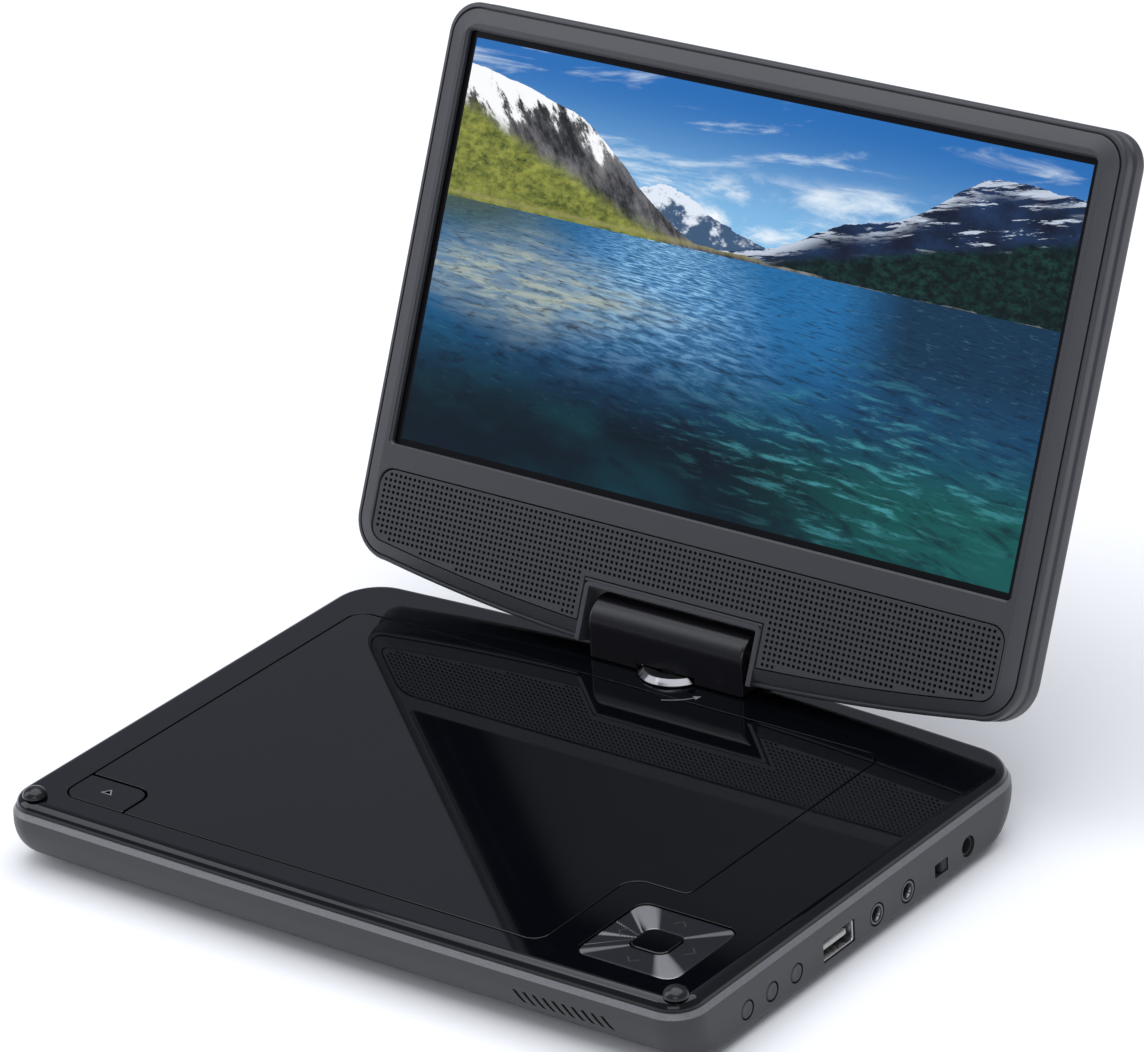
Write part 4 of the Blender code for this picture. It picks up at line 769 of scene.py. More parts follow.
def tub_rings(wall, floor):
    """Rings up the lower shell, close together where the front and the rear roll under."""
    turn = np.radians(np.linspace(0, 90, 13))
    rises = np.unique(np.round(np.concatenate([
        FRONT_ROLL * (1 - np.cos(turn)), SIDE_ROLL * (1 - np.cos(turn[::2])), [STRIP_LOW - TUB_LOW - floor]]), 3))
    rings = []
    for rise in rises[rises <= STRIP_LOW - TUB_LOW - floor]:
        outline = body_outline(rolled(rise, SIDE_ROLL - wall * 0.8) + wall, rolled(rise, FRONT_ROLL - wall) + wall,
                               rolled(rise, REAR_ROLL - wall) + wall, CORNER - wall * 0.5)
        rings.append(flat(outline, TUB_LOW + floor + rise))
    return rings


def make_tub():
    """Lower shell: plan outline carried up a profile that rolls under at the front and the rear."""
    outer = tub_rings(0.0, 0.0)
    top = [even(0.12, STRIP_LOW + 0.12), even(STRIP_INSET, STRIP_TOP - 0.1), even(STRIP_INSET, STRIP_TOP, 0.2),
           even(WALL, STRIP_TOP)]
    tub = skin(outer + top + tub_rings(WALL, SKIN)[::-1])
    openings = [circle(y, SOCKET_LEVEL, 3.2) for y in JACKS]
    openings += [circle(DC_PLACE, SOCKET_LEVEL, 2.9)]
    openings += [circle(y, SIDE_KEY_LEVEL, 2.7) for y in SIDE_KEYS]
    openings += [block((USB_PLACE, SOCKET_LEVEL + 0.4), 13.8, 6.4, 0.5)]
    openings += [block((SWITCH_PLACE, SOCKET_LEVEL - 0.4), 6.0, 3.7, 0.3)]
    tub = cut(tub, *[bar(outline, HALF - 4.0, HALF + 2.0, sideways) for outline in openings])
    vents = []
    for x in np.linspace(58.5, 85.0, bpy.context.scene.player_sizes.vents):
        slot = np.array([(x + 0.8, 8.2), (x + 1.9, 8.2), (x - 0.7, 11.8), (x - 1.8, 11.8)])
        vents.append(bar(slot, FRONT - 1.0, FRONT + 8.0, upright))
    tub = cut(tub, *vents)
    seats = []
    for word in ("left", "right"):
        for end in ("front", "rear"):
            x, y = middle("case_screw_%s_%s" % (end, word))
            seats.append(turned([(0, TUB_LOW - 1), (2.9, TUB_LOW - 1), (2.6, TUB_LOW + 0.2), (2.6, TUB_LOW + 1.55),
                                 (0, TUB_LOW + 1.55)], (x, y, 0), count=28))
    tub = cut(tub, *seats)
    piece("lower_shell", tub, [finishes["base"], finishes["strip"]], "base", ["bottom_shell"],
          angle=28)
    # The upward-facing faces of the strip take the lighter finish: partly its own paint, partly a painted highlight.
    level, lift = read(tub.data.polygons, "center")[:, 2] / MM, read(tub.data.polygons, "normal")[:, 2]
    use_second(tub.data, (level > STRIP_LOW) & (level < STRIP_TOP) & (lift > 0.2))


def cover_rings():
    """Deck cover: flat top, rolled edge and short skirt, then the inside face back to the middle."""
    low = STRIP_TOP + 0.3
    turns = np.radians(np.linspace(90, 0, 12))
    rings = [even(COVER_EDGE + COVER_ROLL * (1 - math.cos(a)), low + (DECK - low) * math.sin(a)) for a in turns]
    inner = COVER_EDGE + COVER_ROLL
    return rings + [even(inner, low), even(inner, DECK - SKIN, 0.3)]


def make_cover():
    """Gloss deck: its rings, cut for the door, the keypad and the swivel."""
    openings = [door_outline(0.0, True), block(PAD, PAD_WIDTH + 0.6, PAD_DEPTH + 0.6, PAD_CORNER + 0.3),
                circle(SWIVEL[0], SWIVEL[1], 4.6)]
    cover = cut(skin(cover_rings()), *[bar(outline, DECK - 6.0, DECK + 2.0) for outline in openings])
    piece("deck_cover", cover, finishes["gloss"], "base", ["top_cover"], edge=0.18)


def make_door():
    """Disc door: gloss panel with a soft upper edge, and its ears and catch rib underneath."""
    edge = bpy.context.scene.player_sizes.edge / MM
    door = slab(lambda s: door_outline(SEAM + s), DECK - SKIN, DECK, edge)
    extras = []
    for x, side in ((DOOR_LEFT + SEAM, 1), (DOOR_RIGHT - SEAM, -1)):
        y, z = DOOR_REAR - SEAM - 5.4, DECK - 1.6
        ear = arc(y, z - 0.1, 1.5, 180, 360, 10)
        ear = np.concatenate([ear, [(y + 2.0, DECK - 1.0), (y - 2.0, DECK - 1.0)]])
        extras.append(bar(ear, x + side * 0.05, x + side * 4.6, sideways))
    rib = block((DOOR_LEFT + 25, DOOR_FRONT + 6), 2.0, 6.0, 0.3)
    extras.append(bar(rib, DECK - SKIN - 2.2, DECK - SKIN + 0.5))
    for extra in extras:
        door = combine(door, extra, "UNION")
    piece("door_panel", door, finishes["gloss"], "door", ["disc_door"])


def mark(name, outline, level, body, finish="dim_ink"):
    """Thin printed mark, a few hundredths of a millimetre thick."""
    piece(name, bar(outline, level - 0.05, level + 0.03), finishes[finish], body)


def stroke(points, width):
    """Outline of a line of even width through points, square at its ends."""
    p = np.asarray(points, float)
    run = np.gradient(p, axis=0)
    run /= np.hypot(run[:, 0], run[:, 1])[:, None]
    side = np.stack([-run[:, 1], run[:, 0]], 1) * width / 2
    return np.concatenate([p - side, (p + side)[::-1]])


def make_open_key():
    """Open key: soft-edged cap on a short stem, with an eject triangle as a band between two triangles."""
    edge = bpy.context.scene.player_sizes.edge / MM
    key = slab(lambda s: key_outline(SEAM + s), DECK - SKIN - 0.8, DECK, edge)
    stem = block((DOOR_LEFT + 9.5, DOOR_FRONT + 6.5), 3.0, 3.0, 0.3)
    key = combine(key, bar(stem, DECK - SKIN - 2.2, DECK - SKIN), "UNION")
    piece("open_key_cap", key, finishes["gloss"], "open_button", ["open_key"])
    x, y = DOOR_LEFT + KEY_WIDTH / 2, DOOR_FRONT + KEY_DEPTH / 2
    triangle = np.array([(x - 1.9, y - 0.4), (x + 1.9, y - 0.4), (x, y + 2.2)])
    inner = np.array([(x - 1.1, y - 0.05), (x + 1.1, y - 0.05), (x, y + 1.5)])
    ring = np.concatenate([triangle, triangle[:1], inner[:1], inner[::-1]])
    mark("open_key_mark", ring, DECK, "open_button")


def make_keypad():
    """Pad ring between two rounded squares, spun finish; its UV runs round and outwards."""
    top, low = DECK - 0.25, DECK - SKIN - 1.0
    hole = lambda s: block(PAD, OK_WIDTH + 0.6 + 2 * s, OK_DEPTH + 0.6 + 2 * s, OK_CORNER + 0.3 + s, 10)
    rim = lambda s: block(PAD, PAD_WIDTH - 2 * s, PAD_DEPTH - 2 * s, PAD_CORNER - s, 10)
    turn = np.radians([0, 30, 60, 90])
    rings = [flat(hole(0.0), low)]
    rings += [flat(hole(0.25 * (1 - math.cos(a))), top - 0.25 * (1 - math.sin(a))) for a in turn]
    inner, outer = rings[-1], flat(rim(0.35), top)
    rings += [inner * (1 - s) + outer * s for s in np.linspace(0.1, 0.9, 9)]
    rings += [flat(rim(0.35 * (1 - math.cos(a))), top - 0.35 * (1 - math.sin(a))) for a in turn[::-1]]
    rings.append(flat(rim(0.0), low))
    pad = skin(rings, ring=True)

    def spread(points):
        """Turn about the middle of the pad, and distance from it."""
        x, y = (points - SHIFT)[:, :2].T - PAD[:, None]
        return np.stack([np.arctan2(y, x) / (2 * math.pi) + 0.5, np.hypot(x, y) / PAD_WIDTH], 1)

    unwrap(pad.data, "round", spread)
    piece("keypad_ring", pad, finishes["pad"], "keypad", ["keypad_plate"])
    for name, angle in (("right", 0), ("up", 90), ("left", 180), ("down", 270)):
        a = math.radians(angle)
        turn = np.array([[math.cos(a), -math.sin(a)], [math.sin(a), math.cos(a)]])
        chevron = stroke(np.array([(9.6, -1.9), (11.5, 0.0), (9.6, 1.9)]) @ turn.T + PAD, 0.5)
        mark("keypad_mark_" + name, chevron, top, "keypad", "hidden")
    dish = [flat(block(PAD, OK_WIDTH - 2 * s, OK_DEPTH - 2 * s, max(OK_CORNER - s, 0.3), 10), z)
            for s, z in [(0.0, low), (0.0, DECK - 0.35), (0.08, DECK - 0.17), (0.25, DECK - 0.07), (0.5, DECK - 0.05)]]
    piece("keypad_button", skin(dish), finishes["gloss"], "ok", ["ok_button"])


def make_side_keys():
    """Round keys: a turned button with a dished face and a wide foot inside the wall."""
    face = HALF
    for number, y in enumerate(SIDE_KEYS, 1):
        inner = span("side_key_%d" % number)[0][0]
        profile = [(0, inner), (3.2, inner), (3.2, inner + 1.0), (2.4, inner + 1.0), (2.4, face - 0.5),
                   (2.3, face - 0.2), (2.05, face - 0.03), (1.7, face), (0.9, face - 0.12), (0, face - 0.16)]
        key = turned(profile, (0, y, SIDE_KEY_LEVEL), "x", 36)
        piece("side_button_cap_%d" % number, key, finishes["base"], "side_button_%d" % number,
              ["side_key_%d" % number])


def make_sockets():
    """Turned round sockets, and the USB shell and its contacts as outlines carried through the wall."""
    face = HALF - 0.05
    for name, y in zip(("av_jack", "phone_jack"), JACKS):
        back = span(name)[0][0]
        profile = [(0, back + 1.2), (1.75, back + 1.2), (1.75, face - 1.4), (2.1, face - 0.5), (2.1, face - 0.15),
                   (2.25, face), (2.75, face), (2.9, face - 0.2), (2.9, HALF - WALL - 0.4), (3.6, HALF - WALL - 0.4),
                   (3.6, back), (0, back)]
        jack = turned(profile, (0, y, SOCKET_LEVEL), "x", 40)
        piece(name + "_socket", jack, finishes["base"], "base", [name])
        band = [(1.78, face - 1.3), (2.12, face - 0.5), (2.12, face - 0.12), (2.3, face + 0.02), (2.55, face + 0.02),
                (2.55, face - 0.1), (2.3, face - 0.1), (2.0, face - 0.5)]
        ring = skin(list(np.stack([turned_ring(r, x, y, SOCKET_LEVEL) for r, x in band])), ring=True)
        piece(name + "_ring", ring, finishes["dark_metal"], "base")
    back = span("dc_inlet")[0][0]
    profile = [(0, back + 2.5), (2.1, back + 2.5), (2.1, face - 0.8), (2.2, face - 0.6), (2.5, face - 0.6),
               (2.6, face - 0.8), (2.6, HALF - WALL - 0.4), (3.8, HALF - WALL - 0.4), (3.8, back), (0, back)]
    piece("dc_socket", turned(profile, (0, DC_PLACE, SOCKET_LEVEL), "x", 40), finishes["base"], "base",
          ["dc_inlet"])
    pin = turned([(0, back + 2.0), (0.6, back + 2.0), (0.6, face - 3.0), (0.4, face - 2.6), (0, face - 2.5)],
                 (0, DC_PLACE, SOCKET_LEVEL), "x", 24)
    piece("dc_pin", pin, finishes["steel"], "base")
    z, back = SOCKET_LEVEL + 0.4, span("usb_port")[0][0]
    shell = lambda grow: block((USB_PLACE, z), 13.2 + 2 * grow, 5.8 + 2 * grow, 0.7 + grow, 6)
    rings = [sideways(shell(-0.4), back + 1.0), sideways(shell(-0.4), HALF - 0.9), sideways(shell(-0.15), HALF - 0.45),
             sideways(shell(-0.02), HALF - 0.4), sideways(shell(0.0), HALF - 0.7), sideways(shell(0.0), back)]
    piece("usb_shell", skin(rings), finishes["steel"], "base", ["usb_port"])
    tongue = lambda s: block((USB_PLACE, z - 0.3), 11.0 - 2 * s, 1.6 - 2 * s, 0.3, 4)
    piece("usb_tongue", skin([sideways(tongue(0.0), back + 1.2), sideways(tongue(0.0), HALF - 1.9),
                              sideways(tongue(0.25), HALF - 1.6)]), finishes["tongue"], "base")
    for k, shift in enumerate((-3.5, -1.2, 1.2, 3.5), 1):
        pad = block((USB_PLACE + shift, z - 1.12), 1.2, 0.12, 0.04, 2)
        piece("usb_contact_%d" % k, bar(pad, back + 2.0, HALF - 2.6, sideways), finishes["brass"], "base")
    make_switch()


def turned_ring(radius, along, y, z, count=40):
    """Circle about a line along x."""
    turn = np.linspace(0, 2 * math.pi, count, endpoint=False)
    return np.stack([np.full(count, along), y + radius * np.cos(turn), z + radius * np.sin(turn)], 1)


def make_switch():
    """Ribbed slider: its face height rises and falls along the slot."""
    (x0, y0, z0), (_, y1, z1) = span("switch_knob")
    along = np.linspace(y0 + 0.15, y1 - 0.15, 41)
    face = HALF - 0.45 + 0.2 * np.cos((along - (y0 + y1) / 2) * 2 * math.pi / 0.62)
    outline = np.concatenate([np.stack([along, face], 1), [(y1, HALF - 1.0), (y1, x0), (y0, x0), (y0, HALF - 1.0)]])
    rings = [np.column_stack([outline[:, 1], outline[:, 0], np.full(len(outline), z)]) for z in (z0, z1)]
    piece("switch_cap", skin(rings), finishes["drive"], "power_switch", ["switch_knob"])


def make_feet():
    """Turned rubber domes, feet and screw heads; each head has a cross cut into it."""
    for word in ("left", "right"):
        name = "deck_bump_" + word
        (x, y), top, seat = middle(name), span(name)[1][2], DECK + 0.25
        turn = np.radians(np.linspace(90, 0, 12))
        dome = [(3.3 * math.sin(a) ** 0.9 if a else 0.0, seat + 0.15 + (top - seat - 0.15) * math.cos(a)) for a in turn]
        profile = [(0, DECK - SKIN), (1.5, DECK - SKIN), (1.5, seat), (3.1, seat)] + dome
        piece(name + "_dome", turned(profile, (x, y, 0), count=40), finishes["dome"], "base", [name])
        for end in ("front", "rear"):
            name = "foot_%s_%s" % (end, word)
            (x, y), top = middle(name), span(name)[1][2] + 0.25
            profile = [(0, top), (5.0, top), (5.0, 0.7), (4.85, 0.3), (4.5, 0.05), (4.2, 0.0), (3.4, 0.0), (3.2, 0.12),
                       (0, 0.12)]
            piece(name + "_pad", turned(profile, (x, y, 0), count=40), finishes["rubber"], "base", [name])
            name = "case_screw_%s_%s" % (end, word)
            (x, y), head, tip = middle(name), span(name)[0][2], span(name)[1][2]
            profile = [(0, tip), (1.0, tip - 1), (1.0, head + 1), (2.2, head + 1), (2.2, head + 0.35),
                       (1.9, head + 0.1), (1.3, head), (0, head)]
            screw = turned(profile, (x, y, 0), count=32)
            for width, depth in ((2.5, 0.55), (0.55, 2.5)):
                screw = cut(screw, bar(block((x, y), width, depth, 0.1, 2), head - 0.5, head + 0.7))
            piece(name + "_head", screw, finishes["steel"], "base", [name])


def make_deck_marks():
    """Turning arrow printed on the deck in front of the hinge."""
    x, y = SWIVEL[:2]
    mark("deck_arrow_line", stroke(arc(x, y, 17.0, 292, 322, 16), 0.35), DECK, "base")
    end = arc(x, y, 17.0, 322, 326, 1)
    run = end[1] - end[0]
    run, tip = run / np.hypot(*run), end[0]
    side = np.array([-run[1], run[0]])
    mark("deck_arrow_head", np.array([tip - side * 1.1, tip + run * 2.0, tip + side * 1.1]), DECK, "base")


# ---- the drive ----------------------------------------------------------------------------------
def make_hub():
    """Disc hub: spigot with a soft shoulder, three sprung balls and a felt-like seat."""
    (x, y), bottom, top = middle("spindle_hub"), span("spindle_hub")[0][2], span("spindle_hub")[1][2]
    seat = top - 2.2
    profile = [(0, top - 0.25), (1.2, top - 0.25), (1.5, top), (5.6, top), (6.6, top - 0.35), (7.25, top - 0.9),
               (7.4, top - 1.4), (7.4, seat), (8.6, seat), (8.8, seat - 0.15), (12.6, seat - 0.15), (12.9, seat),
               (13.7, seat), (14.0, seat - 0.3), (14.0, seat - 1.4), (1.0, seat - 1.4), (1.0, bottom), (0, bottom)]
    piece("disc_hub", turned(profile, (x, y, 0), count=64), finishes["hidden"], "spindle", ["spindle_hub"])
    for k in range(3):
        a = math.radians(90 + 120 * k)
        turn = np.radians(np.linspace(0, 180, 13))
        ball = [(0.75 * math.sin(t), 0.75 * math.cos(t)) for t in turn]
        ball[0], ball[-1] = (0, 0.75), (0, -0.75)
        spot = (x + 6.9 * math.cos(a), y + 6.9 * math.sin(a), top - 1.15)
        piece("disc_hub_ball_%d" % (k + 1), turned(ball, spot, count=20), finishes["steel"], "spindle")


def dress_inside():
    """Finishes of the packed pieces that are shown as they are."""
    dress(finishes["drive"], "disc_tray", "laser_sled", "door_latch", "swivel_bush")
    dress(finishes["steel"], "drive_frame", "guide_rod_front", "guide_rod_rear", "spindle_motor", "sled_motor",
          "lead_screw", "switch_body", "door_pin_left", "door_pin_right", "hinge_pin_left", "hinge_pin_right",
          "hinge_bracket", "swivel_washer")
    dress(finishes["board"], "main_board", "side_key_board", "keypad_board", "screen_board")
    dress(finishes["hidden"], "speaker_left", "speaker_right")
    dress(finishes["lens"], "objective_lens")
    dress(finishes["wrap"], "battery_pack")


# ---- the hinge ----------------------------------------------------------------------------------
def make_hinge():
    """Bevelled turning disc, and a barrel that is an arch with straight sides, hollow and rounded at its ends."""
    x, y = SWIVEL[:2]
    low, high = (corner[2] for corner in span("swivel_disc"))
    profile = [(6.0, low), (10.2, low), (10.2, low + 0.25), (9.9, low + 0.55), (8.9, high - 0.12), (8.6, high),
               (6.0, high)]
    turn = np.linspace(0, 2 * math.pi, 72, endpoint=False)
    disc = skin([np.stack([x + r * np.cos(turn), y + r * np.sin(turn), np.full(72, z)], 1) for r, z in profile],
                ring=True)
    piece("turning_disc", disc, finishes["chrome"], "swivel", ["swivel_disc"])
    half = span("hinge_cover")[1][0]
    radius, axis = 6.8, HINGE[2]
    foot = span("hinge_cover")[0][2]

    def arch(inset):
        """Half circle over the axis with straight sides down to the foot, all set in alike."""
        r = radius - inset
        curve = arc(0, axis, r, 180, 0, 40)
        drop = np.linspace(0.15, 1, 6)[:, None]
        right = curve[-1] + drop * (0, foot + inset * 0.3 - axis)
        left = (curve[0] + drop * (0, foot + inset * 0.3 - axis))[::-1]
        return np.concatenate([left, curve, right])

    ends = [(0.9, half), (0.35, half - 0.12), (0.08, half - 0.45), (0.0, half - 0.9)]
    rings = [sideways(arch(i), -a) for i, a in ends] + [sideways(arch(i), a) for i, a in ends[::-1]]
    cover = skin(rings)
    low_disc = [(0, DECK - 1), (10.6, DECK - 1), (10.6, high + 0.3), (0, high + 0.3)]
    cover = cut(cover, turned(low_disc, (x, y, 0), count=64))
    inner = [(-4.9, foot - 2), *arc(0, axis, 5.0, 180, 0, 24).tolist(), (4.9, foot - 2)]
    cover = cut(cover, bar(np.array(inner), -half + 1.6, half - 1.6, sideways))
    piece("hinge_barrel", cover, finishes["barrel"], "swivel", ["hinge_cover"])


# ---- the screen half ----------------------------------------------------------------------------
def lid_rings(steps):
    """Outlines of the screen half at (distance ahead, inset) steps."""
    return [upright(lid_outline(inset), ahead) for ahead, inset in steps]


def notched(shell, start, end):
    """Cuts the hinge notch through a shell between two distances from the axis."""
    half, top = NOTCH_HALF + 1.5, NOTCH_TOP + 1.5
    notch = np.array([(-half, -20), (half, -20), (half, top), (-half, top)])
    return cut(shell, bar(notch, start, end, upright, on_lid))


def make_bezel():
    """Front shell: flat field, shallow facet towards the edge, rounded rim, and an open back."""
    seam = 1.15
    steps = [(LID_FACE - 1.9, WALL + 1.2), (LID_FACE - 2.4, WALL), (seam, WALL), (seam, 0.3), (seam + 0.3, 0.0),
             (3.5, 0.0), (4.1, 0.1), (4.5, 0.35), (4.7, 0.8), (4.7, 1.25), (3.7, 1.3), (3.7, 1.7), (4.8, 1.75),
             (5.0, 2.0), (LID_FACE - 0.03, 5.5), (LID_FACE, 5.9)]
    bezel = skin(lid_rings(steps), on_lid)
    window = lambda g: block((0, SCREEN_LOW + SCREEN_HEIGHT / 2), SCREEN_WIDTH + 3.6 + 2 * g,
                             SCREEN_HEIGHT + 3.6 + 2 * g, 1.2 + g, 6)
    steps = [(0.0, 2.0), (0.0, LID_FACE - 0.75), (0.55, LID_FACE - 0.2), (0.75, LID_FACE + 0.8)]
    tools = [skin([upright(window(g), n) for g, n in steps], on_lid)]
    steps = [(0.0, 2.0), (0.0, LID_FACE - 0.25), (-0.2, LID_FACE + 0.05), (-0.2, LID_FACE + 0.8)]
    tools += [skin([upright(grille_outline(g), n) for g, n in steps], on_lid)]
    bezel = notched(cut(bezel, *tools), 0.0, LID_FACE + 1)
    piece("front_shell", bezel, finishes["lid"], "lid", ["screen_bezel"], angle=24)


def make_back():
    """Rear shell: dark seam band, soft edge, then a shallow dome as a quarter ellipse to the flat back."""
    turn = np.radians(np.linspace(0, 90, 13))
    dome = [(-4.2 - (LID_BACK - 4.2) * math.sin(a), 11.5 * (1 - math.cos(a))) for a in turn]
    inner = [(-4.2 - (LID_BACK - 5.9) * math.sin(a), WALL + 10.0 * (1 - math.cos(a))) for a in turn[::-2]]
    steps = [(0.85, WALL), (0.85, 0.55), (-0.3, 0.55), (-0.75, 0.15), (-1.1, 0.0), (-3.6, 0.0)] + dome
    shell = skin(lid_rings(inner + steps), on_lid)
    piece("rear_shell", notched(shell, 2.0, -LID_BACK - 2), finishes["lid"], "lid", ["screen_back"],
          angle=24)


def make_notch_lip():
    """Raised lip that lines the hinge notch right through the screen half, hollowed over the turning disc."""
    low = LID_LOW - 4

    def band(s):
        """Outline of the lip, its walls drawn in from both sides."""
        a, b = NOTCH_HALF + 1.5 - s, NOTCH_HALF + s
        top, under = NOTCH_TOP + 1.5 - s, NOTCH_TOP + s
        return rounded([(-a, low, 0), (-b, low, 0), (-b, under, 0.7 - s), (b, under, 0.7 - s), (b, low, 0),
                        (a, low, 0), (a, top, 1.6 - s), (-a, top, 1.6 - s)], 6)

    lip = slab(band, -LID_BACK, LID_FACE - 0.05, 0.3, on_lid, upright)
    turn = np.radians(np.linspace(0, 90, 7))
    steps = [(LID_FACE + 1, 0.05), (-4.2, 0.05)]
    steps += [(-4.2 - (LID_BACK - 4.3) * math.sin(a), 0.05 + 11.5 * (1 - math.cos(a))) for a in turn[1:]]
    lip = combine(lip, skin(lid_rings(steps), on_lid), "INTERSECT")
    bore = turned([(0, -40), (2.3, -40), (2.3, 40), (0, 40)], (0, 0, 0), "x", 28,
                  lambda p: (np.asarray(p) + HINGE) * MM)
    relief = bar(circle(0, SWIVEL[1], DISC_RELIEF, 48), -LID_BACK - 1, DISC_CLEAR, upright, on_lid)
    lip = cut(cut(lip, bore), relief)
    piece("notch_lip", lip, finishes["lid"], "lid")


def make_panel():
    """Display panel: its UV runs from 0 to 1 over the lit picture, and the border, sides and back stay dark."""
    low, high = SCREEN_LOW - 4.6, SCREEN_LOW + SCREEN_HEIGHT + 3.4
    x = SCREEN_WIDTH / 2 + 5.4
    frame_at = lambda s: rounded([(-x + s, low + s, 0.5), (x - s, low + s, 0.5), (x - s, high - s, 0.5),
                                  (-x + s, high - s, 0.5)], 3)
    panel = slab(frame_at, PANEL_FACE - 5.6, PANEL_FACE, 0.2, on_lid, upright)

    def spread(points):
        """Share of the lit picture's width and height."""
        x, y, z = (points - HINGE).T
        height = y * math.sin(LEAN) + z * math.cos(LEAN)
        return np.stack([x / SCREEN_WIDTH + 0.5, (height - SCREEN_LOW) / SCREEN_HEIGHT], 1)

    unwrap(panel.data, "picture", spread)
    panel = piece("display", panel, [finishes["hidden"], finishes["picture"]], "lid", ["lcd_panel"])
    panel.visible_glossy = False
    ahead = read(panel.data.polygons, "normal") @ (0, -math.cos(LEAN), math.sin(LEAN))
    use_second(panel.data, ahead > 0.9)


def inside_by(outline, points, margin):
    """True where a point is inside the outline and at least a margin from it."""
    a, b = outline, np.roll(outline, -1, 0)
    run = b - a
    to = points[:, None] - a[None]
    share = np.clip((to * run).sum(-1) / np.maximum((run * run).sum(-1), 1e-12), 0, 1)
    gap = np.hypot(*(to - share[..., None] * run).transpose(2, 0, 1)).min(1)
    px, py = points[:, None, 0], points[:, None, 1]
    spans = (a[:, 1] > py) != (b[:, 1] > py)
    rise = np.where(run[:, 1] == 0, 1.0, run[:, 1])
    crossing = spans & (px < a[:, 0] + (py - a[:, 1]) * run[:, 0] / rise)
    return (crossing.sum(1) % 2 == 1) & (gap >= margin)


def make_grille():
    """Perforated plate: a square grid of holes wherever a whole hole fits inside the outline."""
    sizes = bpy.context.scene.player_sizes
    pitch, radius = sizes.hole_pitch / MM, sizes.hole_radius / MM
    top = LID_FACE - 0.3
    plate = slab(lambda s: grille_outline(0.3 + s), top - 1.2, top, 0.15, on_lid, upright, rows=2)
    across = (np.arange(-64, 64) + 0.5) * pitch
    up = GRILLE_TOP - 1.7 - np.arange(20) * pitch
    spots = np.stack(np.meshgrid(across, up), -1).reshape(-1, 2)
    spots = spots[inside_by(grille_outline(0.3), spots, radius + 0.55)]
    sides = 10
    ring = circle(0, 0, radius, sides)
    points = np.empty((len(spots), 2, sides, 3))
    points[..., 0] = spots[:, None, None, 0] + ring[:, 0]
    points[..., 2] = spots[:, None, None, 1] + ring[:, 1]
    points[:, 0, :, 1], points[:, 1, :, 1] = top - 2.0, top + 1.0
    start = np.arange(len(spots))[:, None, None] * 2 * sides
    walls = (start + np.array(quads(2, sides))).reshape(-1, 4).tolist()
    ends = (start[:, :, 0] + np.arange(sides)).tolist() + (start[:, :, 0] + sides + np.arange(sides)).tolist()
    drills = loose("drills", on_lid(points.reshape(-1, 3)), walls + ends)
    plate = combine(plate, drills, "DIFFERENCE", "MANIFOLD")
    piece("speaker_plate", plate, finishes["grille"], "lid", ["speaker_grille"])


# ---- floor, light and camera --------------------------------------------------------------------
VIEW_YAW, VIEW_PITCH, VIEW_ROLL = 38.03, 24.91, -3.59
VIEW_DISTANCE, VIEW_LENS = 1.6063, 189.54
VIEW_AIM = (0.02544, 0.04035)
SKY_LIGHT, SKY_SEEN = 0.34, 0.97


def area_light(name, place, size, power):
    """Soft rectangular light that faces the middle of the player."""
    data = bpy.data.lights.new(name, "AREA")
    data.shape, data.size, data.size_y, data.energy = "RECTANGLE", size[0], size[1], power
    data.color = (0.96, 0.97, 1.0)
    made = bpy.data.objects.new(name, data)
    bpy.context.scene.collection.objects.link(made)
    made.location = place
    made.rotation_euler = (Vector((0.0, 0.0, 0.05)) - Vector(place)).to_track_quat("-Z", "Y").to_euler()


def make_floor():
    """Round pale floor of three rings of faces."""
    turn = np.linspace(0, 2 * math.pi, 96, endpoint=False)
    grid = np.stack([np.stack([r * np.cos(turn), r * np.sin(turn), np.zeros(96)], 1) for r in (0.02, 0.5, 6.0)])
    floor = loose("floor", grid.reshape(-1, 3), quads(3, 96) + [list(range(96))])
    if floor.data.polygons[0].normal.z < 0:
        floor.data.flip_normals()
    f = Finish("floor_paper", (0.9, 0.9, 0.9), 0.8, Specular_IOR_Level=0.1)
    f.set(Base_Color=f.mix(f.noise(f.coords(), 0.01, 2.0), (0.90, 0.90, 0.90), (0.92, 0.92, 0.92)))
    floor.data.materials.append(f.material)


def make_sky():
    """Dim, slightly blue light from all round, seen as plain white behind the player."""
    world = bpy.data.worlds.new("studio")
    world.use_nodes = True
    nodes, link = world.node_tree.nodes, world.node_tree.links.new
    back, seen = nodes["Background"], nodes.new("ShaderNodeLightPath").outputs["Is Camera Ray"]
    tint = nodes.new("ShaderNodeMix")
    tint.data_type = "RGBA"
    tint.inputs[6].default_value, tint.inputs[7].default_value = (0.90, 0.95, 1.12, 1.0), (1.0, 1.0, 1.0, 1.0)
    level = nodes.new("ShaderNodeMapRange")
    level.inputs[3].default_value, level.inputs[4].default_value = SKY_LIGHT, SKY_SEEN
    link(seen, level.inputs[0])
    link(seen, tint.inputs[0])
    link(level.outputs[0], back.inputs[1])
    link(tint.outputs[2], back.inputs[0])
    bpy.context.scene.world = world


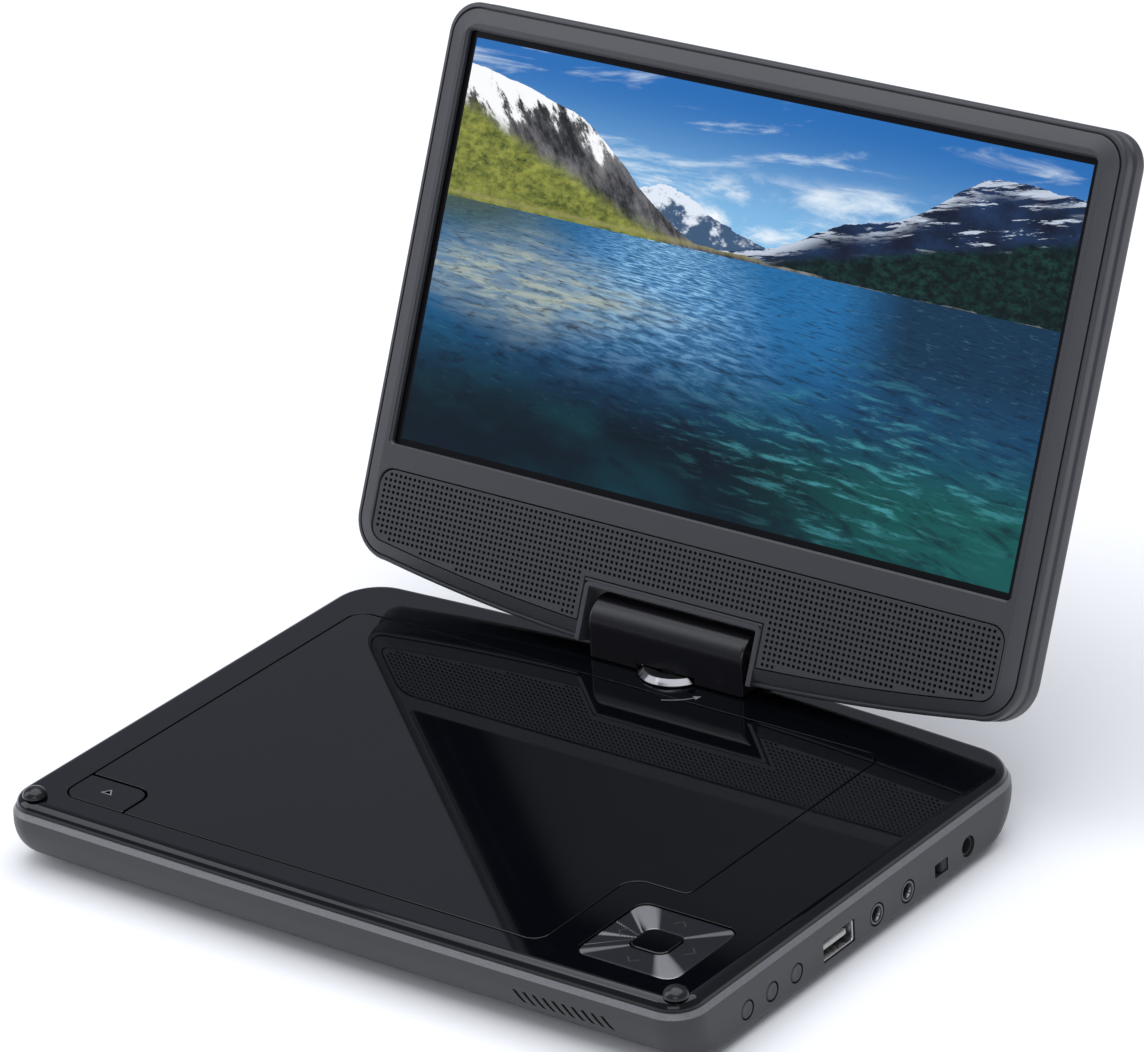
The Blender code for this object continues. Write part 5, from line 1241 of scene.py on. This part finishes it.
def make_camera():
    """Camera turned by yaw, pitch and roll; its axis passes a little beside a point on the deck by the hinge."""
    data = bpy.data.cameras.new("camera")
    data.sensor_width, data.lens = 36.0, VIEW_LENS
    data.clip_start, data.clip_end = 0.05, 50.0
    camera = bpy.data.objects.new("camera", data)
    bpy.context.scene.collection.objects.link(camera)
    yaw, pitch, roll = (math.radians(a) for a in (VIEW_YAW, VIEW_PITCH, VIEW_ROLL))
    away = np.array([math.sin(yaw) * math.cos(pitch), -math.cos(yaw) * math.cos(pitch), math.sin(pitch)])
    right = np.array([math.cos(yaw), math.sin(yaw), 0.0])
    up = np.cross(away, right)
    c, s = math.cos(roll), math.sin(roll)
    right, up = c * right + s * up, c * up - s * right
    target = np.array([HINGE[0], HINGE[1] - 6.0, DECK]) * MM - right * VIEW_AIM[0] + up * VIEW_AIM[1]
    matrix = np.eye(4)
    matrix[:3] = np.stack([right, up, away, target + away * VIEW_DISTANCE], 1)
    camera.matrix_world = Matrix(matrix.tolist())
    bpy.context.scene.camera = camera


def make_stage():
    """Floor, sky, three soft lights and the camera."""
    make_floor()
    make_sky()
    area_light("overhead", (0.0, 0.1, 1.9), (2.6, 2.6), 46)
    area_light("left_soft", (-1.3, -0.7, 0.9), (1.0, 1.4), 9)
    area_light("front_soft", (0.9, -1.5, 0.7), (1.2, 0.8), 5)
    bpy.context.scene.view_settings.view_transform = "Standard"
    make_camera()


# ---- operators, panel and registration ----------------------------------------------------------
def operator(idname, label, work):
    """One operator class for a piece or a group of like pieces."""

    def execute(self, context):
        """Makes the pieces of this operator."""
        work()
        return {"FINISHED"}

    return type("PLAYER_OT_" + idname, (bpy.types.Operator,),
                {"bl_idname": "player." + idname, "bl_label": label, "__doc__": work.__doc__, "execute": execute})


STEPS = [
    ("finishes", "Finishes", make_finishes),
    ("tub", "Lower shell", make_tub),
    ("cover", "Deck cover", make_cover),
    ("door", "Disc door", make_door),
    ("open_key", "Open key", make_open_key),
    ("keypad", "Keypad", make_keypad),
    ("side_keys", "Side keys", make_side_keys),
    ("sockets", "Sockets", make_sockets),
    ("feet", "Feet and screws", make_feet),
    ("deck_marks", "Deck marks", make_deck_marks),
    ("hub", "Disc hub", make_hub),
    ("inside", "Inside", dress_inside),
    ("hinge", "Hinge", make_hinge),
    ("bezel", "Front shell", make_bezel),
    ("back", "Rear shell", make_back),
    ("notch_lip", "Notch lip", make_notch_lip),
    ("panel", "Display", make_panel),
    ("grille", "Speaker grille", make_grille),
    ("stage", "Stage", make_stage),
]
OPERATORS = [operator(*step) for step in STEPS]


class PLAYER_PT_sidebar(bpy.types.Panel):
    bl_label = "Player"
    bl_idname = "PLAYER_PT_sidebar"
    bl_space_type = "VIEW_3D"
    bl_region_type = "UI"
    bl_category = "Player"

    def draw(self, context):
        """Settings first, then one button per step."""
        for group in (context.scene.player_sizes, context.scene.player_colours):
            for name in group.bl_rna.properties.keys():
                if name not in ("rna_type", "name"):
                    self.layout.prop(group, name)
        for step in STEPS:
            self.layout.operator("player." + step[0])


CLASSES = [PlayerSizes, PlayerColours, *OPERATORS, PLAYER_PT_sidebar]


def register():
    """Adds the settings, the operators and the panel."""
    for item in CLASSES:
        bpy.utils.register_class(item)
    bpy.types.Scene.player_sizes = bpy.props.PointerProperty(type=PlayerSizes)
    bpy.types.Scene.player_colours = bpy.props.PointerProperty(type=PlayerColours)


def unregister():
    """Takes them out again."""
    del bpy.types.Scene.player_colours
    del bpy.types.Scene.player_sizes
    for item in reversed(CLASSES):
        bpy.utils.unregister_class(item)


def main():
    """Runs every step in order and writes down both sizes."""
    register()
    for step in STEPS:
        getattr(bpy.ops.player, step[0])()
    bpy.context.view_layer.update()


if __name__ == "__main__":
    main()
